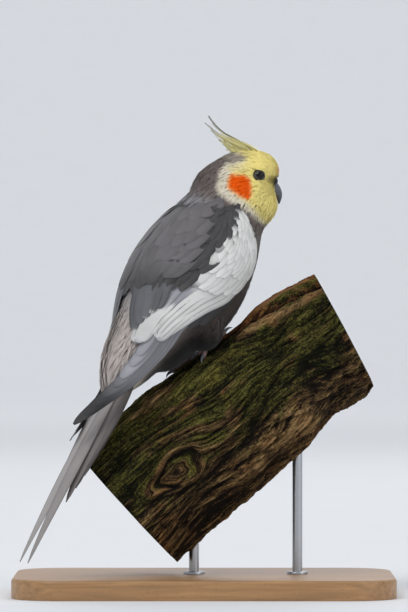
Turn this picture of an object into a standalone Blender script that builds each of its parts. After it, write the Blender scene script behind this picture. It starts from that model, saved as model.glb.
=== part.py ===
"""A life-size cockatiel on a cut length of thick limb, held by a plain display stand.

Sizes are in millimetres and are turned to metres as each mesh is made. +Z is up, -Y faces the
viewer, and the origin is the middle of the stand's underside. The bird looks towards +X.
"""

import math

import bmesh
import bpy
import numpy as np
from mathutils import Matrix, Vector

MM = 0.001
GAP = 0.35
FLAT_ANGLE = math.radians(1.5)

# The stand and the limb that it carries
BASE_SIZE = (228.0, 148.0, 12.0)
BASE_CORNER = 30.0
BASE_EDGE = 2.0
ROD_RADIUS = 3.0
ROD_PLACES = {"stand_rod_left": (-6.0, 0.0), "stand_rod_right": (56.0, 0.0)}
ROD_DEPTH_IN_BASE = 6.0
ROD_DEPTH_IN_LIMB = 12.0
LIMB_FOOT = (-45.6, 0.0, 52.2)
LIMB_BEND = (47.4, 0.0, 137.4)
LIMB_HEAD = (84.6, 0.0, 157.2)
LIMB_RADIUS = 40.5
LIMB_SIDES = 28
LIMB_RINGS = 13

# The bird's place on the limb, and how it holds its body, tail and head
BIRD_AT = (-10.0, -7.0, 188.5)
BODY_YAW = 32.0
BODY_PITCH = 54.7
TAIL_PITCH = 57.9
TAIL_ROLL = 10.0
HEAD_AT = (24.6, 11.0, 248.5)
HEAD_YAW = 5.0

# Eye, lids, bill and crest, in the head's frame
EYE_AT = (6.9, 10.7, 2.4)
EYE_AXIS = (0.25, 0.96, 0.10)
EYE_RADIUS = 4.3
SOCKET_GROWTH = 1.06
LID_ANGLE = 44.0
LID_THICKNESS = 1.7
CERE_AT = (16.4, 0.0, -0.6)
CERE_SIZE = (3.6, 4.6, 3.0)
NOSTRIL_AT = (1.2, 2.4, 1.7)
NOSTRIL_RADIUS = 0.75
UPPER_BILL = (
    ((12.5, 0.0, -4.6), 4.4, 4.2),
    ((16.6, 0.0, -4.6), 4.3, 4.2),
    ((19.4, 0.0, -7.2), 3.3, 3.1),
    ((20.6, 0.0, -10.2), 2.1, 1.9),
    ((20.7, 0.0, -14.2), 0.5, 0.4),
)
LOWER_BILL = (
    ((10.5, 0.0, -11.0), 3.6, 2.0),
    ((14.6, 0.0, -12.6), 3.4, 1.9),
    ((17.6, 0.0, -12.8), 2.3, 1.2),
)
GAPE_AT = (20.5, 0.0, -12.5)
GAPE_SIZE = (5.0, 4.2, 5.5)

# How a folded wing lies: distance along the spine from the torso's middle, then the angle round
# from the back and the distance from the spine, at its upper edge and at its lower edge
WING_STATIONS = (
    (46.0, 42.0, 24.0, 84.0, 24.0),
    (36.0, 24.0, 27.0, 113.0, 27.0),
    (20.0, 14.0, 31.0, 134.0, 30.0),
    (0.0, 11.0, 33.0, 125.0, 31.0),
    (-16.0, 10.0, 31.5, 112.0, 30.0),
    (-36.0, 20.0, 27.0, 108.0, 26.0),
    (-54.0, 35.0, 22.5, 109.0, 21.5),
    (-80.0, 31.0, 21.0, 93.0, 15.0),
    (-100.0, 22.0, 19.5, 55.0, 14.0),
    (-118.0, 13.0, 18.0, 22.0, 17.0),
)
WING_FRONT = 45.0
WING_DEPTH = 3.6
WING_CORE_END = (-22.0, 5.0)
WING_GAP = 0.6
FAR_TIP_SHIFT = (-3.5, 1.5, -6.2)
WING_VANE = 0.5

# Outlines of a feather's vane: share of its length, share of its width
POINTED = ((0.0, 0.5), (0.3, 1.0), (0.7, 0.9), (0.9, 0.6), (1.0, 0.15))
BLUNT = ((0.0, 0.5), (0.35, 1.0), (0.8, 0.95), (0.94, 0.65), (1.0, 0.25))
SHORT = ((0.0, 0.55), (0.5, 1.0), (0.85, 0.8), (1.0, 0.3))

# The tiers of a wing's feathers, lowest first: count, then the first and last feather's root and
# the first and last tip, as distance along the spine and share across the wing
WING_TIERS = {
    "primaries": (7, (13.0, 0.93), (-9.0, 0.45), (-116.0, 0.74), (-67.0, 0.26)),
    "secondaries": (6, (15.0, 0.93), (-8.0, 0.14), (-27.0, 0.93), (-54.0, 0.06)),
    "tertials": (3, (6.0, 0.26), (2.0, 0.08), (-38.0, 0.25), (-47.0, 0.08)),
    "greater_coverts": (7, (27.0, 0.93), (0.0, 0.22), (3.0, 0.97), (-31.0, 0.24)),
    "median_coverts": (6, (38.0, 0.90), (22.0, 0.32), (17.0, 0.94), (-3.0, 0.36)),
    "scapulars": (4, (32.0, 0.30), (22.0, 0.06), (0.0, 0.37), (-14.0, 0.04)),
}

# The form of each tier's feathers: width, how high the root, first tip and last tip lie over the
# sheet, lean of the vane, the share of its length at which it is clear of the core, and outline
WING_FORMS = {
    "primaries": (8.5, (1.1, 1.4, 2.8), 0.16, 0.4, POINTED),
    "secondaries": (10.5, (2.1, 3.4, 3.6), 0.14, 0.7, BLUNT),
    "tertials": (11.0, (2.6, 4.7, 4.7), 0.10, 0.7, BLUNT),
    "greater_coverts": (10.0, (2.0, 4.5, 4.7), 0.12, 0.85, SHORT),
    "median_coverts": (10.0, (2.0, 4.5, 4.7), 0.12, 0.85, SHORT),
    "scapulars": (11.0, (2.0, 5.4, 5.2), 0.10, 0.8, SHORT),
}

# The tail's feathers in pairs from the middle out: where each ends, and its width
TAIL_PAIRS = (
    (-141.0, 9.5),
    (-98.0, 10.5),
    (-88.0, 11.0),
    (-79.0, 11.0),
    (-70.0, 10.5),
    (-61.0, 10.0),
)
TAIL_CUT = -8.0
TAIL_ROOT_DEPTH = 5.0
TAIL_TOP = 1.2
TAIL_VANE = 0.5
TAIL_STEP = 0.8
TAIL_LEAN = 10.0
TAIL_MIDDLE_LEAN = 3.0
TAIL_RISE = 0.8
TAIL_DROOP = 2.2
TAIL_OUTLINE = ((0.0, 0.5), (0.2, 0.9), (0.5, 1.0), (0.8, 0.8), (0.94, 0.5), (1.0, 0.15))

# The crest: rearmost and foremost root, their tips, widths and thickness
CREST_COUNT = 9
CREST_ROOT_X = (-7.0, 9.5)
CREST_TIPS = ((-17.0, 21.5), (-22.5, 39.5))
CREST_WIDTHS = (2.0, 2.0, 1.9, 1.5, 0.9)
CREST_VANE = 0.7
CREST_ROOT_LEVEL = 5.0
CREST_SPREAD = 2.2

# Legs and feet, in the body's level frame
THIGH_AT = (2.5, 16.0, -29.0)
THIGH_SIZE = (12.0, 9.5, 13.5)
BALL_AT = (9.0, 11.0)
BALL_RADIUS = 2.4
SHANK_RADII = (2.4, 2.0)
TOE_RADIUS = 1.7
CLAW_LENGTH = 5.5
CLAW_RADII = (1.1, 0.8, 0.3)

# Two toes point forwards and two back: length, and the angle that each turns outwards
TOES = ((18.0, -14.0), (12.5, 16.0), (16.0, -152.0), (10.0, 158.0))

COLOURS = {
    "grey": (0.21, 0.21, 0.225),
    "slate": (0.13, 0.13, 0.145),
    "yellow": (0.80, 0.72, 0.30),
    "pearl": (0.50, 0.48, 0.48),
    "horn": (0.16, 0.16, 0.19),
    "eye": (0.01, 0.01, 0.012),
    "foot": (0.34, 0.24, 0.23),
    "bark": (0.13, 0.085, 0.05),
    "stand": (0.60, 0.42, 0.24),
    "steel": (0.55, 0.56, 0.58),
}


def turned(at, yaw, pitch=0.0, roll=0.0):
    """The place of a frame turned by yaw about Z, raised by pitch, and rolled about its x axis."""
    return (
        Matrix.Translation(at)
        @ Matrix.Rotation(math.radians(yaw), 4, "Z")
        @ Matrix.Rotation(math.radians(-pitch), 4, "Y")
        @ Matrix.Rotation(math.radians(roll), 4, "X")
    )


BODY = turned(BIRD_AT, BODY_YAW)
TORSO = turned(BIRD_AT, BODY_YAW, BODY_PITCH)
TAIL_ROOT = TORSO @ Vector((-60.0, 0.0, 5.4))
TAIL = turned(TAIL_ROOT, BODY_YAW, TAIL_PITCH, TAIL_ROLL)
HEAD = turned(HEAD_AT, HEAD_YAW)
WORLD = Matrix.Identity(4)

# Where thin cuts part the body, along the torso, and the nape's cut in the head's frame
RUMP_CUT = -42.0
NECK_CUT = 40.0
NAPE_CUT = (-9.0, 0.0, -9.0)
NAPE_OUT = (-0.72, 0.0, -0.69)

# The flesh with its coat: name, frame, centre, half sizes along the frame's x, y and z
MASSES = (
    ("torso", TORSO, (0.0, 0.0, 0.0), (60.0, 27.5, 32.0)),
    ("breast", TORSO, (24.0, 0.0, -6.0), (32.0, 27.0, 25.0)),
    ("belly", TORSO, (2.0, 0.0, -14.0), (40.0, 23.0, 23.0)),
    ("vent", TORSO, (-34.0, 0.0, -12.0), (23.0, 16.0, 13.0)),
    ("rump", TORSO, (-46.0, 0.0, 4.0), (36.0, 20.0, 17.0)),
    ("tail_coverts", TAIL, (4.0, 0.0, -1.0), (32.0, 12.5, 8.5)),
    ("neck", TORSO, (46.0, 0.0, 0.0), (34.0, 23.0, 24.0)),
    ("nape", HEAD, (-13.0, -1.0, -9.0), (17.0, 17.0, 20.0)),
    ("skull", HEAD, (-1.0, 0.0, 1.0), (19.5, 15.0, 17.0)),
    ("forehead", HEAD, (9.0, 0.0, 6.0), (11.5, 10.5, 11.0)),
    ("cheeks", HEAD, (2.0, 0.0, -7.0), (13.0, 15.0, 12.0)),
    ("bib", HEAD, (9.5, 0.0, -13.5), (10.5, 11.5, 13.0)),
)
MASS_FORMS = [(np.array(f.inverted()), np.array(c), np.array(r)) for _, f, c, r in MASSES]
BLEND = 5.0

LIMB_SIDE = Vector((0.0, -1.0, 0.0))


def ellipsoid_distance(points, inverse, centre, radii):
    """About how far each point lies outside the ellipsoid, negative inside it."""
    local = points @ inverse[:3, :3].T + inverse[:3, 3] - centre
    scaled = np.linalg.norm(local / radii, axis=-1)
    slope = np.linalg.norm(local / np.square(radii), axis=-1)
    return scaled * (scaled - 1.0) / np.maximum(slope, 1e-9)


def smooth_least(first, second, blend):
    """The lesser of two distances, rounded where they meet."""
    share = np.clip(0.5 + 0.5 * (second - first) / blend, 0.0, 1.0)
    return second * (1.0 - share) + first * share - blend * share * (1.0 - share)


def flesh_distance(points):
    """About how far each point lies outside the coat of head, neck, torso and rump."""
    found = None
    for inverse, centre, radii in MASS_FORMS:
        distance = ellipsoid_distance(points, inverse, centre, radii)
        found = distance if found is None else smooth_least(found, distance, BLEND)
    return found


def flesh_slope(points):
    """The direction in which the distance to the coat grows fastest, at each point."""
    step = 0.05
    slope = np.zeros_like(points)
    for axis in range(3):
        shift = np.zeros(3)
        shift[axis] = step
        slope[:, axis] = flesh_distance(points + shift) - flesh_distance(points - shift)
    return slope / np.maximum(np.linalg.norm(slope, axis=1, keepdims=True), 1e-9)


def reach(distance, starts, directions, furthest=120.0):
    """How far each ray goes from inside a form before it leaves it."""
    steps = np.linspace(0.0, furthest, 61)
    low = np.zeros(len(directions))
    high = np.full(len(directions), furthest)
    open_rays = np.ones(len(directions), bool)
    for step in steps[1:]:
        outside = distance(starts + directions * step) > 0.0
        high[open_rays & outside] = step
        low[open_rays & ~outside] = step
        open_rays &= ~outside
    for _ in range(16):
        middle = (low + high) / 2.0
        outside = distance(starts + directions * middle[:, None]) > 0.0
        high = np.where(outside, middle, high)
        low = np.where(outside, low, middle)
    return low


def material(colour, roughness=0.6, metallic=0.0):
    """The named colour as a Principled BSDF."""
    found = bpy.data.materials.get(colour)
    if found:
        return found
    made = bpy.data.materials.new(colour)
    made.use_nodes = True
    shader = made.node_tree.nodes["Principled BSDF"]
    shader.inputs["Base Color"].default_value = (*COLOURS[colour], 1.0)
    shader.inputs["Roughness"].default_value = roughness
    shader.inputs["Metallic"].default_value = metallic
    return made


def add_object(name, bm, colour, frame=WORLD, smooth=True):
    """Makes the named object from a bmesh in world millimetres, placed by its own frame."""
    place = frame.copy()
    place.translation = frame.translation * MM
    bmesh.ops.triangulate(bm, faces=[f for f in bm.faces if len(f.verts) > 4])
    bmesh.ops.transform(bm, matrix=place.inverted() @ Matrix.Scale(MM, 4), verts=bm.verts)
    mesh = bpy.data.meshes.new(name)
    bm.to_mesh(mesh)
    bm.free()
    if smooth:
        mesh.shade_smooth()
    mesh.materials.append(material(colour))
    made = bpy.data.objects.new(name, mesh)
    bpy.context.scene.collection.objects.link(made)
    made.matrix_world = place
    return made


def flesh_solid(centre, subdivisions, grow=0.0, cuts=()):
    """A ball drawn out to the coat's surface as seen from its centre, then cut by planes.

    Each cut is a point and the direction in which material is taken away.
    """
    bm = bmesh.new()
    bmesh.ops.create_icosphere(bm, subdivisions=subdivisions, radius=1.0)
    directions = np.array([v.co.normalized() for v in bm.verts])
    lengths = reach(lambda p: flesh_distance(p) - grow, np.array(centre), directions)
    for vertex, direction, length in zip(bm.verts, directions, lengths):
        vertex.co = Vector(centre) + Vector(direction) * length
    for point, outward in cuts:
        geometry = bm.verts[:] + bm.edges[:] + bm.faces[:]
        bmesh.ops.bisect_plane(
            bm, geom=geometry, dist=1e-4, plane_co=point, plane_no=outward, clear_outer=True
        )
        rim = [e for e in bm.edges if e.is_boundary]
        bmesh.ops.holes_fill(bm, edges=rim, sides=0)
    return bm


def tube(points, radii, sides, up=(0.0, 0.0, 1.0)):
    """A tapered tube through points, with flat ends."""
    bm = bmesh.new()
    points = [Vector(p) for p in points]
    rings = []
    for i, (point, radius) in enumerate(zip(points, radii)):
        ahead = points[min(i + 1, len(points) - 1)] - points[max(i - 1, 0)]
        side = ahead.cross(Vector(up)).normalized()
        rise = side.cross(ahead).normalized()
        angles = [2.0 * math.pi * k / sides for k in range(sides)]
        outward = [side * math.cos(a) + rise * math.sin(a) for a in angles]
        rings.append([bm.verts.new(point + o * radius) for o in outward])
    bm.faces.new(rings[0])
    for first, second in zip(rings, rings[1:]):
        for k in range(sides):
            after = (k + 1) % sides
            bm.faces.new((first[after], first[k], second[k], second[after]))
    bm.faces.new(rings[-1][::-1])
    bmesh.ops.recalc_face_normals(bm, faces=bm.faces)
    return bm


def flat_vane(centres, normals, widths, thickness):
    """A short feather's vane as a closed plate with two points across each face."""
    bm = bmesh.new()
    rings = []
    last = len(centres) - 1
    for i, (centre, normal, width) in enumerate(zip(centres, normals, widths)):
        ahead = (centres[min(i + 1, last)] - centres[max(i - 1, 0)]).normalized()
        edge = Vector(normal).cross(ahead).normalized() * width / 2.0
        drop = ahead.cross(edge).normalized() * -thickness
        corners = (centre - edge, centre + edge, centre + edge + drop, centre - edge + drop)
        rings.append([bm.verts.new(p) for p in corners])
    for (a, b, c, d), (e, f, g, h) in zip(rings, rings[1:]):
        for corners in (
            (a, b, e),
            (b, f, e),
            (b, c, f),
            (c, g, f),
            (d, h, c),
            (h, g, c),
            (d, a, h),
            (a, e, h),
        ):
            bm.faces.new(corners)
    bm.faces.new(rings[0])
    bm.faces.new(rings[-1])
    bmesh.ops.recalc_face_normals(bm, faces=bm.faces)
    return bm


def vane(centres, normals, widths, thickness, camber=0.0):
    """A feather's vane as a closed plate: three points across its back, three across its face."""
    bm = bmesh.new()
    rings = []
    last = len(centres) - 1
    for i, (centre, normal, width) in enumerate(zip(centres, normals, widths)):
        ahead = (centres[min(i + 1, last)] - centres[max(i - 1, 0)]).normalized()
        across = Vector(normal).cross(ahead).normalized()
        out = ahead.cross(across).normalized()
        drop = out * camber * width
        edge = across * width / 2.0
        back = [centre - edge - drop, centre, centre + edge - drop]
        face = [p - out * thickness for p in back]
        rings.append([bm.verts.new(p) for p in back + face[::-1]])
    for first, second in zip(rings, rings[1:]):
        a, b, c, d, e, f = first
        g, h, i, j, k, m = second
        for corners in (
            (a, b, g),
            (b, h, g),
            (b, c, h),
            (c, i, h),
            (c, d, i),
            (d, j, i),
            (e, k, d),
            (k, j, d),
            (f, m, e),
            (m, k, e),
            (f, a, m),
            (a, g, m),
        ):
            bm.faces.new(corners)
    for ring in (rings[0], rings[-1]):
        bm.faces.new((ring[0], ring[1], ring[4], ring[5]))
        bm.faces.new((ring[1], ring[2], ring[3], ring[4]))
    bmesh.ops.recalc_face_normals(bm, faces=bm.faces)
    return bm


def boolean(target, others, operation, solver="EXACT"):
    """Joins others to the target or cuts them from it, then removes them."""
    group = bpy.data.collections.new("helpers")
    bpy.context.scene.collection.children.link(group)
    for other in others:
        group.objects.link(other)
        bpy.context.scene.collection.objects.unlink(other)
    step = target.modifiers.new("join", "BOOLEAN")
    step.operand_type = "COLLECTION"
    step.collection = group
    step.operation = operation
    step.solver = solver
    graph = bpy.context.evaluated_depsgraph_get()
    made = bpy.data.meshes.new_from_object(target.evaluated_get(graph))
    target.modifiers.clear()
    target.data = made
    for other in others:
        bpy.data.objects.remove(other)
    bpy.data.collections.remove(group)
    keep_largest(target)


def keep_largest(target):
    """Drops every closed surface of the mesh but the largest."""
    bm = bmesh.new()
    bm.from_mesh(target.data)
    bmesh.ops.remove_doubles(bm, verts=bm.verts, dist=2e-7)
    left = set(bm.faces)
    groups = []
    while left:
        seeds = [left.pop()]
        group = set(seeds)
        while seeds:
            for edge in seeds.pop().edges:
                for face in edge.link_faces:
                    if face in left:
                        left.discard(face)
                        group.add(face)
                        seeds.append(face)
        groups.append(group)
    largest = max(groups, key=lambda g: sum(f.calc_area() for f in g))
    loose = [f for f in bm.faces if f not in largest]
    bmesh.ops.delete(bm, geom=loose, context="FACES")
    bmesh.ops.dissolve_limit(bm, angle_limit=FLAT_ANGLE, verts=bm.verts, edges=bm.edges)
    bmesh.ops.triangulate(bm, faces=bm.faces)
    bm.to_mesh(target.data)
    bm.free()
    target.data.shade_smooth()


def rod(place, foot, top, radius):
    """An upright rod."""
    return tube([(*place, foot), (*place, top)], [radius] * 2, 12, up=(0.0, 1.0, 0.0))


def build_stand():
    """The flat base and the two rods, which stand in sockets of the base."""
    length, depth, height = BASE_SIZE
    bm = bmesh.new()
    bmesh.ops.create_cube(bm, size=1.0)
    bmesh.ops.scale(bm, vec=(length, depth, height), verts=bm.verts)
    bmesh.ops.translate(bm, vec=(0.0, 0.0, height / 2.0), verts=bm.verts)
    upright = [e for e in bm.edges if abs(e.verts[0].co.z - e.verts[1].co.z) > 1.0]
    bmesh.ops.bevel(
        bm, geom=upright, offset=BASE_CORNER, segments=5, profile=0.5, affect="EDGES", material=-1
    )
    top = [e for e in bm.edges if min(v.co.z for v in e.verts) > height - 0.01]
    bmesh.ops.bevel(
        bm, geom=top, offset=BASE_EDGE, segments=2, profile=0.5, affect="EDGES", material=-1
    )
    base = add_object("stand_base", bm, "stand", smooth=False)
    sockets = []
    for name, (x, y) in ROD_PLACES.items():
        foot = height - ROD_DEPTH_IN_BASE
        top_z = limb_underside(x, y) + ROD_DEPTH_IN_LIMB
        add_object(name, rod((x, y), foot, top_z, ROD_RADIUS), "steel")
        socket = rod((x, y), foot - GAP, height + 5.0, ROD_RADIUS + GAP)
        sockets.append(add_object("socket", socket, "steel"))
    boolean(base, sockets, "DIFFERENCE")


def limb_axis(along):
    """The limb's middle line at a share of its length, and its direction there."""
    foot, bend, head = (Vector(p) for p in (LIMB_FOOT, LIMB_BEND, LIMB_HEAD))
    back = 1.0 - along
    centre = foot * back * back + bend * 2.0 * back * along + head * along * along
    return centre, ((bend - foot) * back + (head - bend) * along).normalized()


def limb_radius(along, around):
    """The limb's radius at a share of its length and an angle from its upper side.

    It swells at a knot, and long ridges run along it.
    """
    ridges = 1.3 * math.sin(3.0 * around + 2.0 * along) + 0.8 * math.sin(7.0 * around - 3.0 * along)
    knot = 5.0 * math.exp(-((along - 0.55) ** 2) / 0.02 - (around - 2.2) ** 2 / 0.4)
    taper = 6.0 * (0.5 - along)
    return LIMB_RADIUS + ridges * (1.0 - math.exp(-(around**2) / 0.3)) + knot + taper


def limb_point(along, around, grow=0.0):
    """A point on the bark, or off it by grow."""
    centre, ahead = limb_axis(along)
    rise = LIMB_SIDE.cross(ahead)
    outward = rise * math.cos(around) + LIMB_SIDE * math.sin(around)
    return centre + outward * (limb_radius(along, around) + grow)


def limb_share(point):
    """The share of the limb's length that lies level with a point, and the middle line there."""
    low, high = -0.3, 1.3
    for _ in range(24):
        along = (low + high) / 2.0
        centre, ahead = limb_axis(along)
        low, high = (along, high) if (point - centre).dot(ahead) > 0.0 else (low, along)
    return along, centre, ahead


def limb_distance(point):
    """How far a point lies outside the bark, and negative inside it."""
    along, centre, ahead = limb_share(point)
    across = point - centre
    around = math.atan2(across.dot(LIMB_SIDE), across.dot(LIMB_SIDE.cross(ahead)))
    return across.length - limb_radius(along, around)


def limb_height(x, y, upper, grow=0.0):
    """The height of the bark's upper or lower side at x and y, or of a skin off it by grow."""
    nearest = min((limb_axis(i / 40.0)[0] for i in range(-10, 51)), key=lambda c: abs(c.x - x))
    low, high = nearest.z, nearest.z + (90.0 if upper else -90.0)
    for _ in range(24):
        middle = (low + high) / 2.0
        inside = limb_distance(Vector((x, y, middle))) < grow
        low, high = (middle, high) if inside else (low, middle)
    return low


def limb_underside(x, y):
    return limb_height(x, y, False)


def limb_form(start, end, count, sides, grow=0.0):
    """The limb between two shares of its length, off its bark by grow."""
    bm = bmesh.new()
    rings = []
    for along in np.linspace(start, end, count):
        angles = [2.0 * math.pi * k / sides - math.pi for k in range(sides)]
        rings.append([bm.verts.new(limb_point(along, a, grow)) for a in angles])
    for first, second in zip(rings, rings[1:]):
        for k in range(sides):
            after = (k + 1) % sides
            bm.faces.new((first[k], first[after], second[after], second[k]))
    bm.faces.new(rings[0])
    bm.faces.new(rings[-1])
    bmesh.ops.recalc_face_normals(bm, faces=bm.faces)
    return bm


def build_limb():
    """The cut length of limb, with a hole for each rod."""
    limb = add_object("perch", limb_form(0.0, 1.0, LIMB_RINGS, LIMB_SIDES), "bark")
    holes = []
    for x, y in ROD_PLACES.values():
        under = limb_underside(x, y)
        hole = rod((x, y), under - 25.0, under + ROD_DEPTH_IN_LIMB + GAP, ROD_RADIUS + GAP)
        holes.append(add_object("hole", hole, "steel"))
    boolean(limb, holes, "DIFFERENCE")


def build_body():
    """Torso, rump, neck and head, parted by thin cuts."""
    axis = TORSO.to_3x3() @ Vector((1.0, 0.0, 0.0))
    tail_axis = TAIL.to_3x3() @ Vector((1.0, 0.0, 0.0))
    rump_cut = TORSO @ Vector((RUMP_CUT, 0.0, 0.0))
    neck_cut = TORSO @ Vector((NECK_CUT, 0.0, 0.0))
    nape_out = (HEAD.to_3x3() @ Vector(NAPE_OUT)).normalized()
    nape_cut = HEAD @ Vector(NAPE_CUT)
    torso = flesh_solid(
        TORSO @ Vector((0, 0, 0)), 4, cuts=((neck_cut, axis), (rump_cut, -axis))
    )
    torso = add_object("torso", torso, "grey", TORSO)
    boolean(torso, [limb_cutter()] + foot_pieces(-1, GAP) + foot_pieces(1, GAP), "DIFFERENCE")
    rump = flesh_solid(
        TORSO @ Vector((-50, 0, 4)),
        3,
        cuts=((rump_cut - axis * GAP, axis), (TAIL @ Vector((TAIL_CUT, 0, 0)), -tail_axis)),
    )
    add_object("rump", rump, "grey", TORSO)
    neck = flesh_solid(
        TORSO @ Vector((52, 0, 0)),
        4,
        cuts=((neck_cut + axis * GAP, -axis), (nape_cut + nape_out * GAP, -nape_out)),
    )
    add_object("neck", neck, "grey", TORSO)
    head = flesh_solid(HEAD @ Vector((0, 0, -2)), 4, cuts=((nape_cut, nape_out),))
    head = add_object("head", head, "yellow", HEAD)
    build_face(head)


def loft(sections, frame, sides, grow=0.0):
    """A form through elliptical sections, each a centre, a half width and a half height."""
    bm = bmesh.new()
    rings = []
    centres = [Vector(c) for c, _, _ in sections]
    for i, (centre, (_, half_width, half_height)) in enumerate(zip(centres, sections)):
        ahead = centres[min(i + 1, len(centres) - 1)] - centres[max(i - 1, 0)]
        side = Vector((0.0, 1.0, 0.0))
        rise = ahead.cross(side).normalized()
        if i in (0, len(centres) - 1):
            centre = centre + ahead.normalized() * (grow if i else -grow)
        ring = []
        for k in range(sides):
            a = 2.0 * math.pi * k / sides
            wide = side * math.cos(a) * (half_width + grow)
            high = rise * math.sin(a) * (half_height + grow)
            ring.append(bm.verts.new(frame @ (centre + wide + high)))
        rings.append(ring)
    for first, second in zip(rings, rings[1:]):
        for k in range(sides):
            after = (k + 1) % sides
            bm.faces.new((first[k], first[after], second[after], second[k]))
    bm.faces.new(rings[0])
    bm.faces.new(rings[-1])
    bmesh.ops.recalc_face_normals(bm, faces=bm.faces)
    return bm


def ball(centre, radii, frame, subdivisions):
    """An ellipsoid with its half sizes along the frame's axes."""
    bm = bmesh.new()
    bmesh.ops.create_icosphere(bm, subdivisions=subdivisions, radius=1.0)
    for vertex in bm.verts:
        vertex.co = frame @ (Vector(centre) + Vector([c * r for c, r in zip(vertex.co, radii)]))
    return bm


def ring(centre, axis, radius, thickness, steps, sides):
    """A closed ring of round section about an axis."""
    bm = bmesh.new()
    axis = axis.normalized()
    first_side = axis.orthogonal().normalized()
    second_side = axis.cross(first_side)
    rings = []
    for i in range(steps):
        a = 2.0 * math.pi * i / steps
        outward = first_side * math.cos(a) + second_side * math.sin(a)
        section = []
        for k in range(sides):
            b = 2.0 * math.pi * k / sides
            point = centre + outward * (radius + math.cos(b) * thickness / 2.0)
            section.append(bm.verts.new(point + axis * math.sin(b) * thickness / 2.0))
        rings.append(section)
    for i in range(steps):
        first, second = rings[i], rings[(i + 1) % steps]
        for k in range(sides):
            after = (k + 1) % sides
            bm.faces.new((first[k], first[after], second[after], second[k]))
    bmesh.ops.recalc_face_normals(bm, faces=bm.faces)
    return bm


def build_face(head):
    """The eyes with their lids, and the bill with its cere, set into the head."""
    joined = []
    cutters = []
    for side, name in ((-1, "eye_right"), (1, "eye_left")):
        place = (EYE_AT[0], side * EYE_AT[1], EYE_AT[2])
        centre = HEAD @ Vector(place)
        axis = HEAD.to_3x3() @ Vector((EYE_AXIS[0], side * EYE_AXIS[1], EYE_AXIS[2]))
        radius = EYE_RADIUS + GAP
        add_object(name, ball(place, [EYE_RADIUS] * 3, HEAD, 3), "eye", HEAD)
        angle = math.radians(LID_ANGLE)
        lid_at = centre + axis.normalized() * radius * math.cos(angle)
        lid = ring(lid_at, axis, radius * math.sin(angle) + LID_THICKNESS * 0.3, LID_THICKNESS, 16, 6)
        joined.append(add_object("lid", lid, "grey"))
        cutters.append(add_object("socket", ball(place, [radius * SOCKET_GROWTH] * 3, HEAD, 2), "eye"))
    joined += crest_pieces()
    boolean(head, joined, "UNION")
    cutters.append(add_object("mouth", loft(UPPER_BILL, HEAD, 16, GAP), "horn"))
    cutters.append(add_object("mouth", loft(LOWER_BILL, HEAD, 14, GAP), "horn"))
    cere_grown = [s + GAP for s in CERE_SIZE]
    cutters.append(add_object("mouth", ball(CERE_AT, cere_grown, HEAD, 2), "horn"))
    cutters.append(add_object("mouth", ball(GAPE_AT, GAPE_SIZE, HEAD, 2), "horn"))
    boolean(head, cutters, "DIFFERENCE")
    add_object("upper_bill", loft(UPPER_BILL, HEAD, 16), "horn", HEAD)
    lower = add_object("lower_bill", loft(LOWER_BILL, HEAD, 14), "horn", HEAD)
    boolean(lower, [add_object("mouth", loft(UPPER_BILL, HEAD, 16, GAP), "horn")], "DIFFERENCE")
    cere = add_object("cere", ball(CERE_AT, CERE_SIZE, HEAD, 2), "horn", HEAD)
    cutters = [add_object("mouth", loft(UPPER_BILL, HEAD, 16, GAP), "horn")]
    for side in (-1, 1):
        at = [c + o for c, o in zip(CERE_AT, (NOSTRIL_AT[0], side * NOSTRIL_AT[1], NOSTRIL_AT[2]))]
        cutters.append(add_object("nostril", ball(at, [NOSTRIL_RADIUS] * 3, HEAD, 2), "horn"))
    boolean(cere, cutters, "DIFFERENCE")


def crest_pieces():
    """The crest's feathers, from the low rear ones to the long ones over the forehead."""
    pieces = []
    sideways = HEAD.to_3x3() @ Vector((0.0, 1.0, 0.0))
    for k in range(CREST_COUNT):
        share = k / (CREST_COUNT - 1)
        x = CREST_ROOT_X[0] + (CREST_ROOT_X[1] - CREST_ROOT_X[0]) * share
        y = ((k * 2) % 3 - 1) * CREST_SPREAD
        start = HEAD @ Vector((x, y, CREST_ROOT_LEVEL))
        height = reach(flesh_distance, np.array(start), np.array([[0.0, 0.0, 1.0]]))[0]
        root = Vector((x + 1.5, y, CREST_ROOT_LEVEL + height - 2.5))
        (low_x, low_z), (high_x, high_z) = CREST_TIPS
        rise = share**0.7
        tip = Vector((low_x + (high_x - low_x) * rise, y * 0.5, low_z + (high_z - low_z) * rise))
        bend = root + Vector((-0.45 * (root.x - tip.x), 0.0, 0.32 * (tip.z - root.z)))
        points, normals = [], []
        for i in range(len(CREST_WIDTHS)):
            s = i / (len(CREST_WIDTHS) - 1)
            point = root * (1 - s) ** 2 + bend * 2 * s * (1 - s) + tip * s * s
            points.append(HEAD @ point)
        for i in range(len(points)):
            ahead = points[min(i + 1, len(points) - 1)] - points[max(i - 1, 0)]
            normals.append(sideways.cross(ahead))
        made = vane(points, normals, CREST_WIDTHS, CREST_VANE)
        pieces.append(add_object("crest", made, "slate"))
    return pieces


def between(table, at):
    """The values at one place in a table, on a smooth curve through its rows."""
    rows = [np.array(row) for row in table]
    i = next((k for k in range(1, len(rows) - 1) if at > rows[k][0]), len(rows) - 1)
    before, first, second, after = (rows[min(max(k, 0), len(rows) - 1)] for k in range(i - 2, i + 2))
    x = (at - first[0]) / (second[0] - first[0])
    blend = (
        first * 2.0
        + (second - before) * x
        + (before * 2.0 - first * 5.0 + second * 4.0 - after) * x**2
        + (first * 3.0 - before - second * 3.0 + after) * x**3
    )
    return blend[1:] / 2.0


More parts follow.
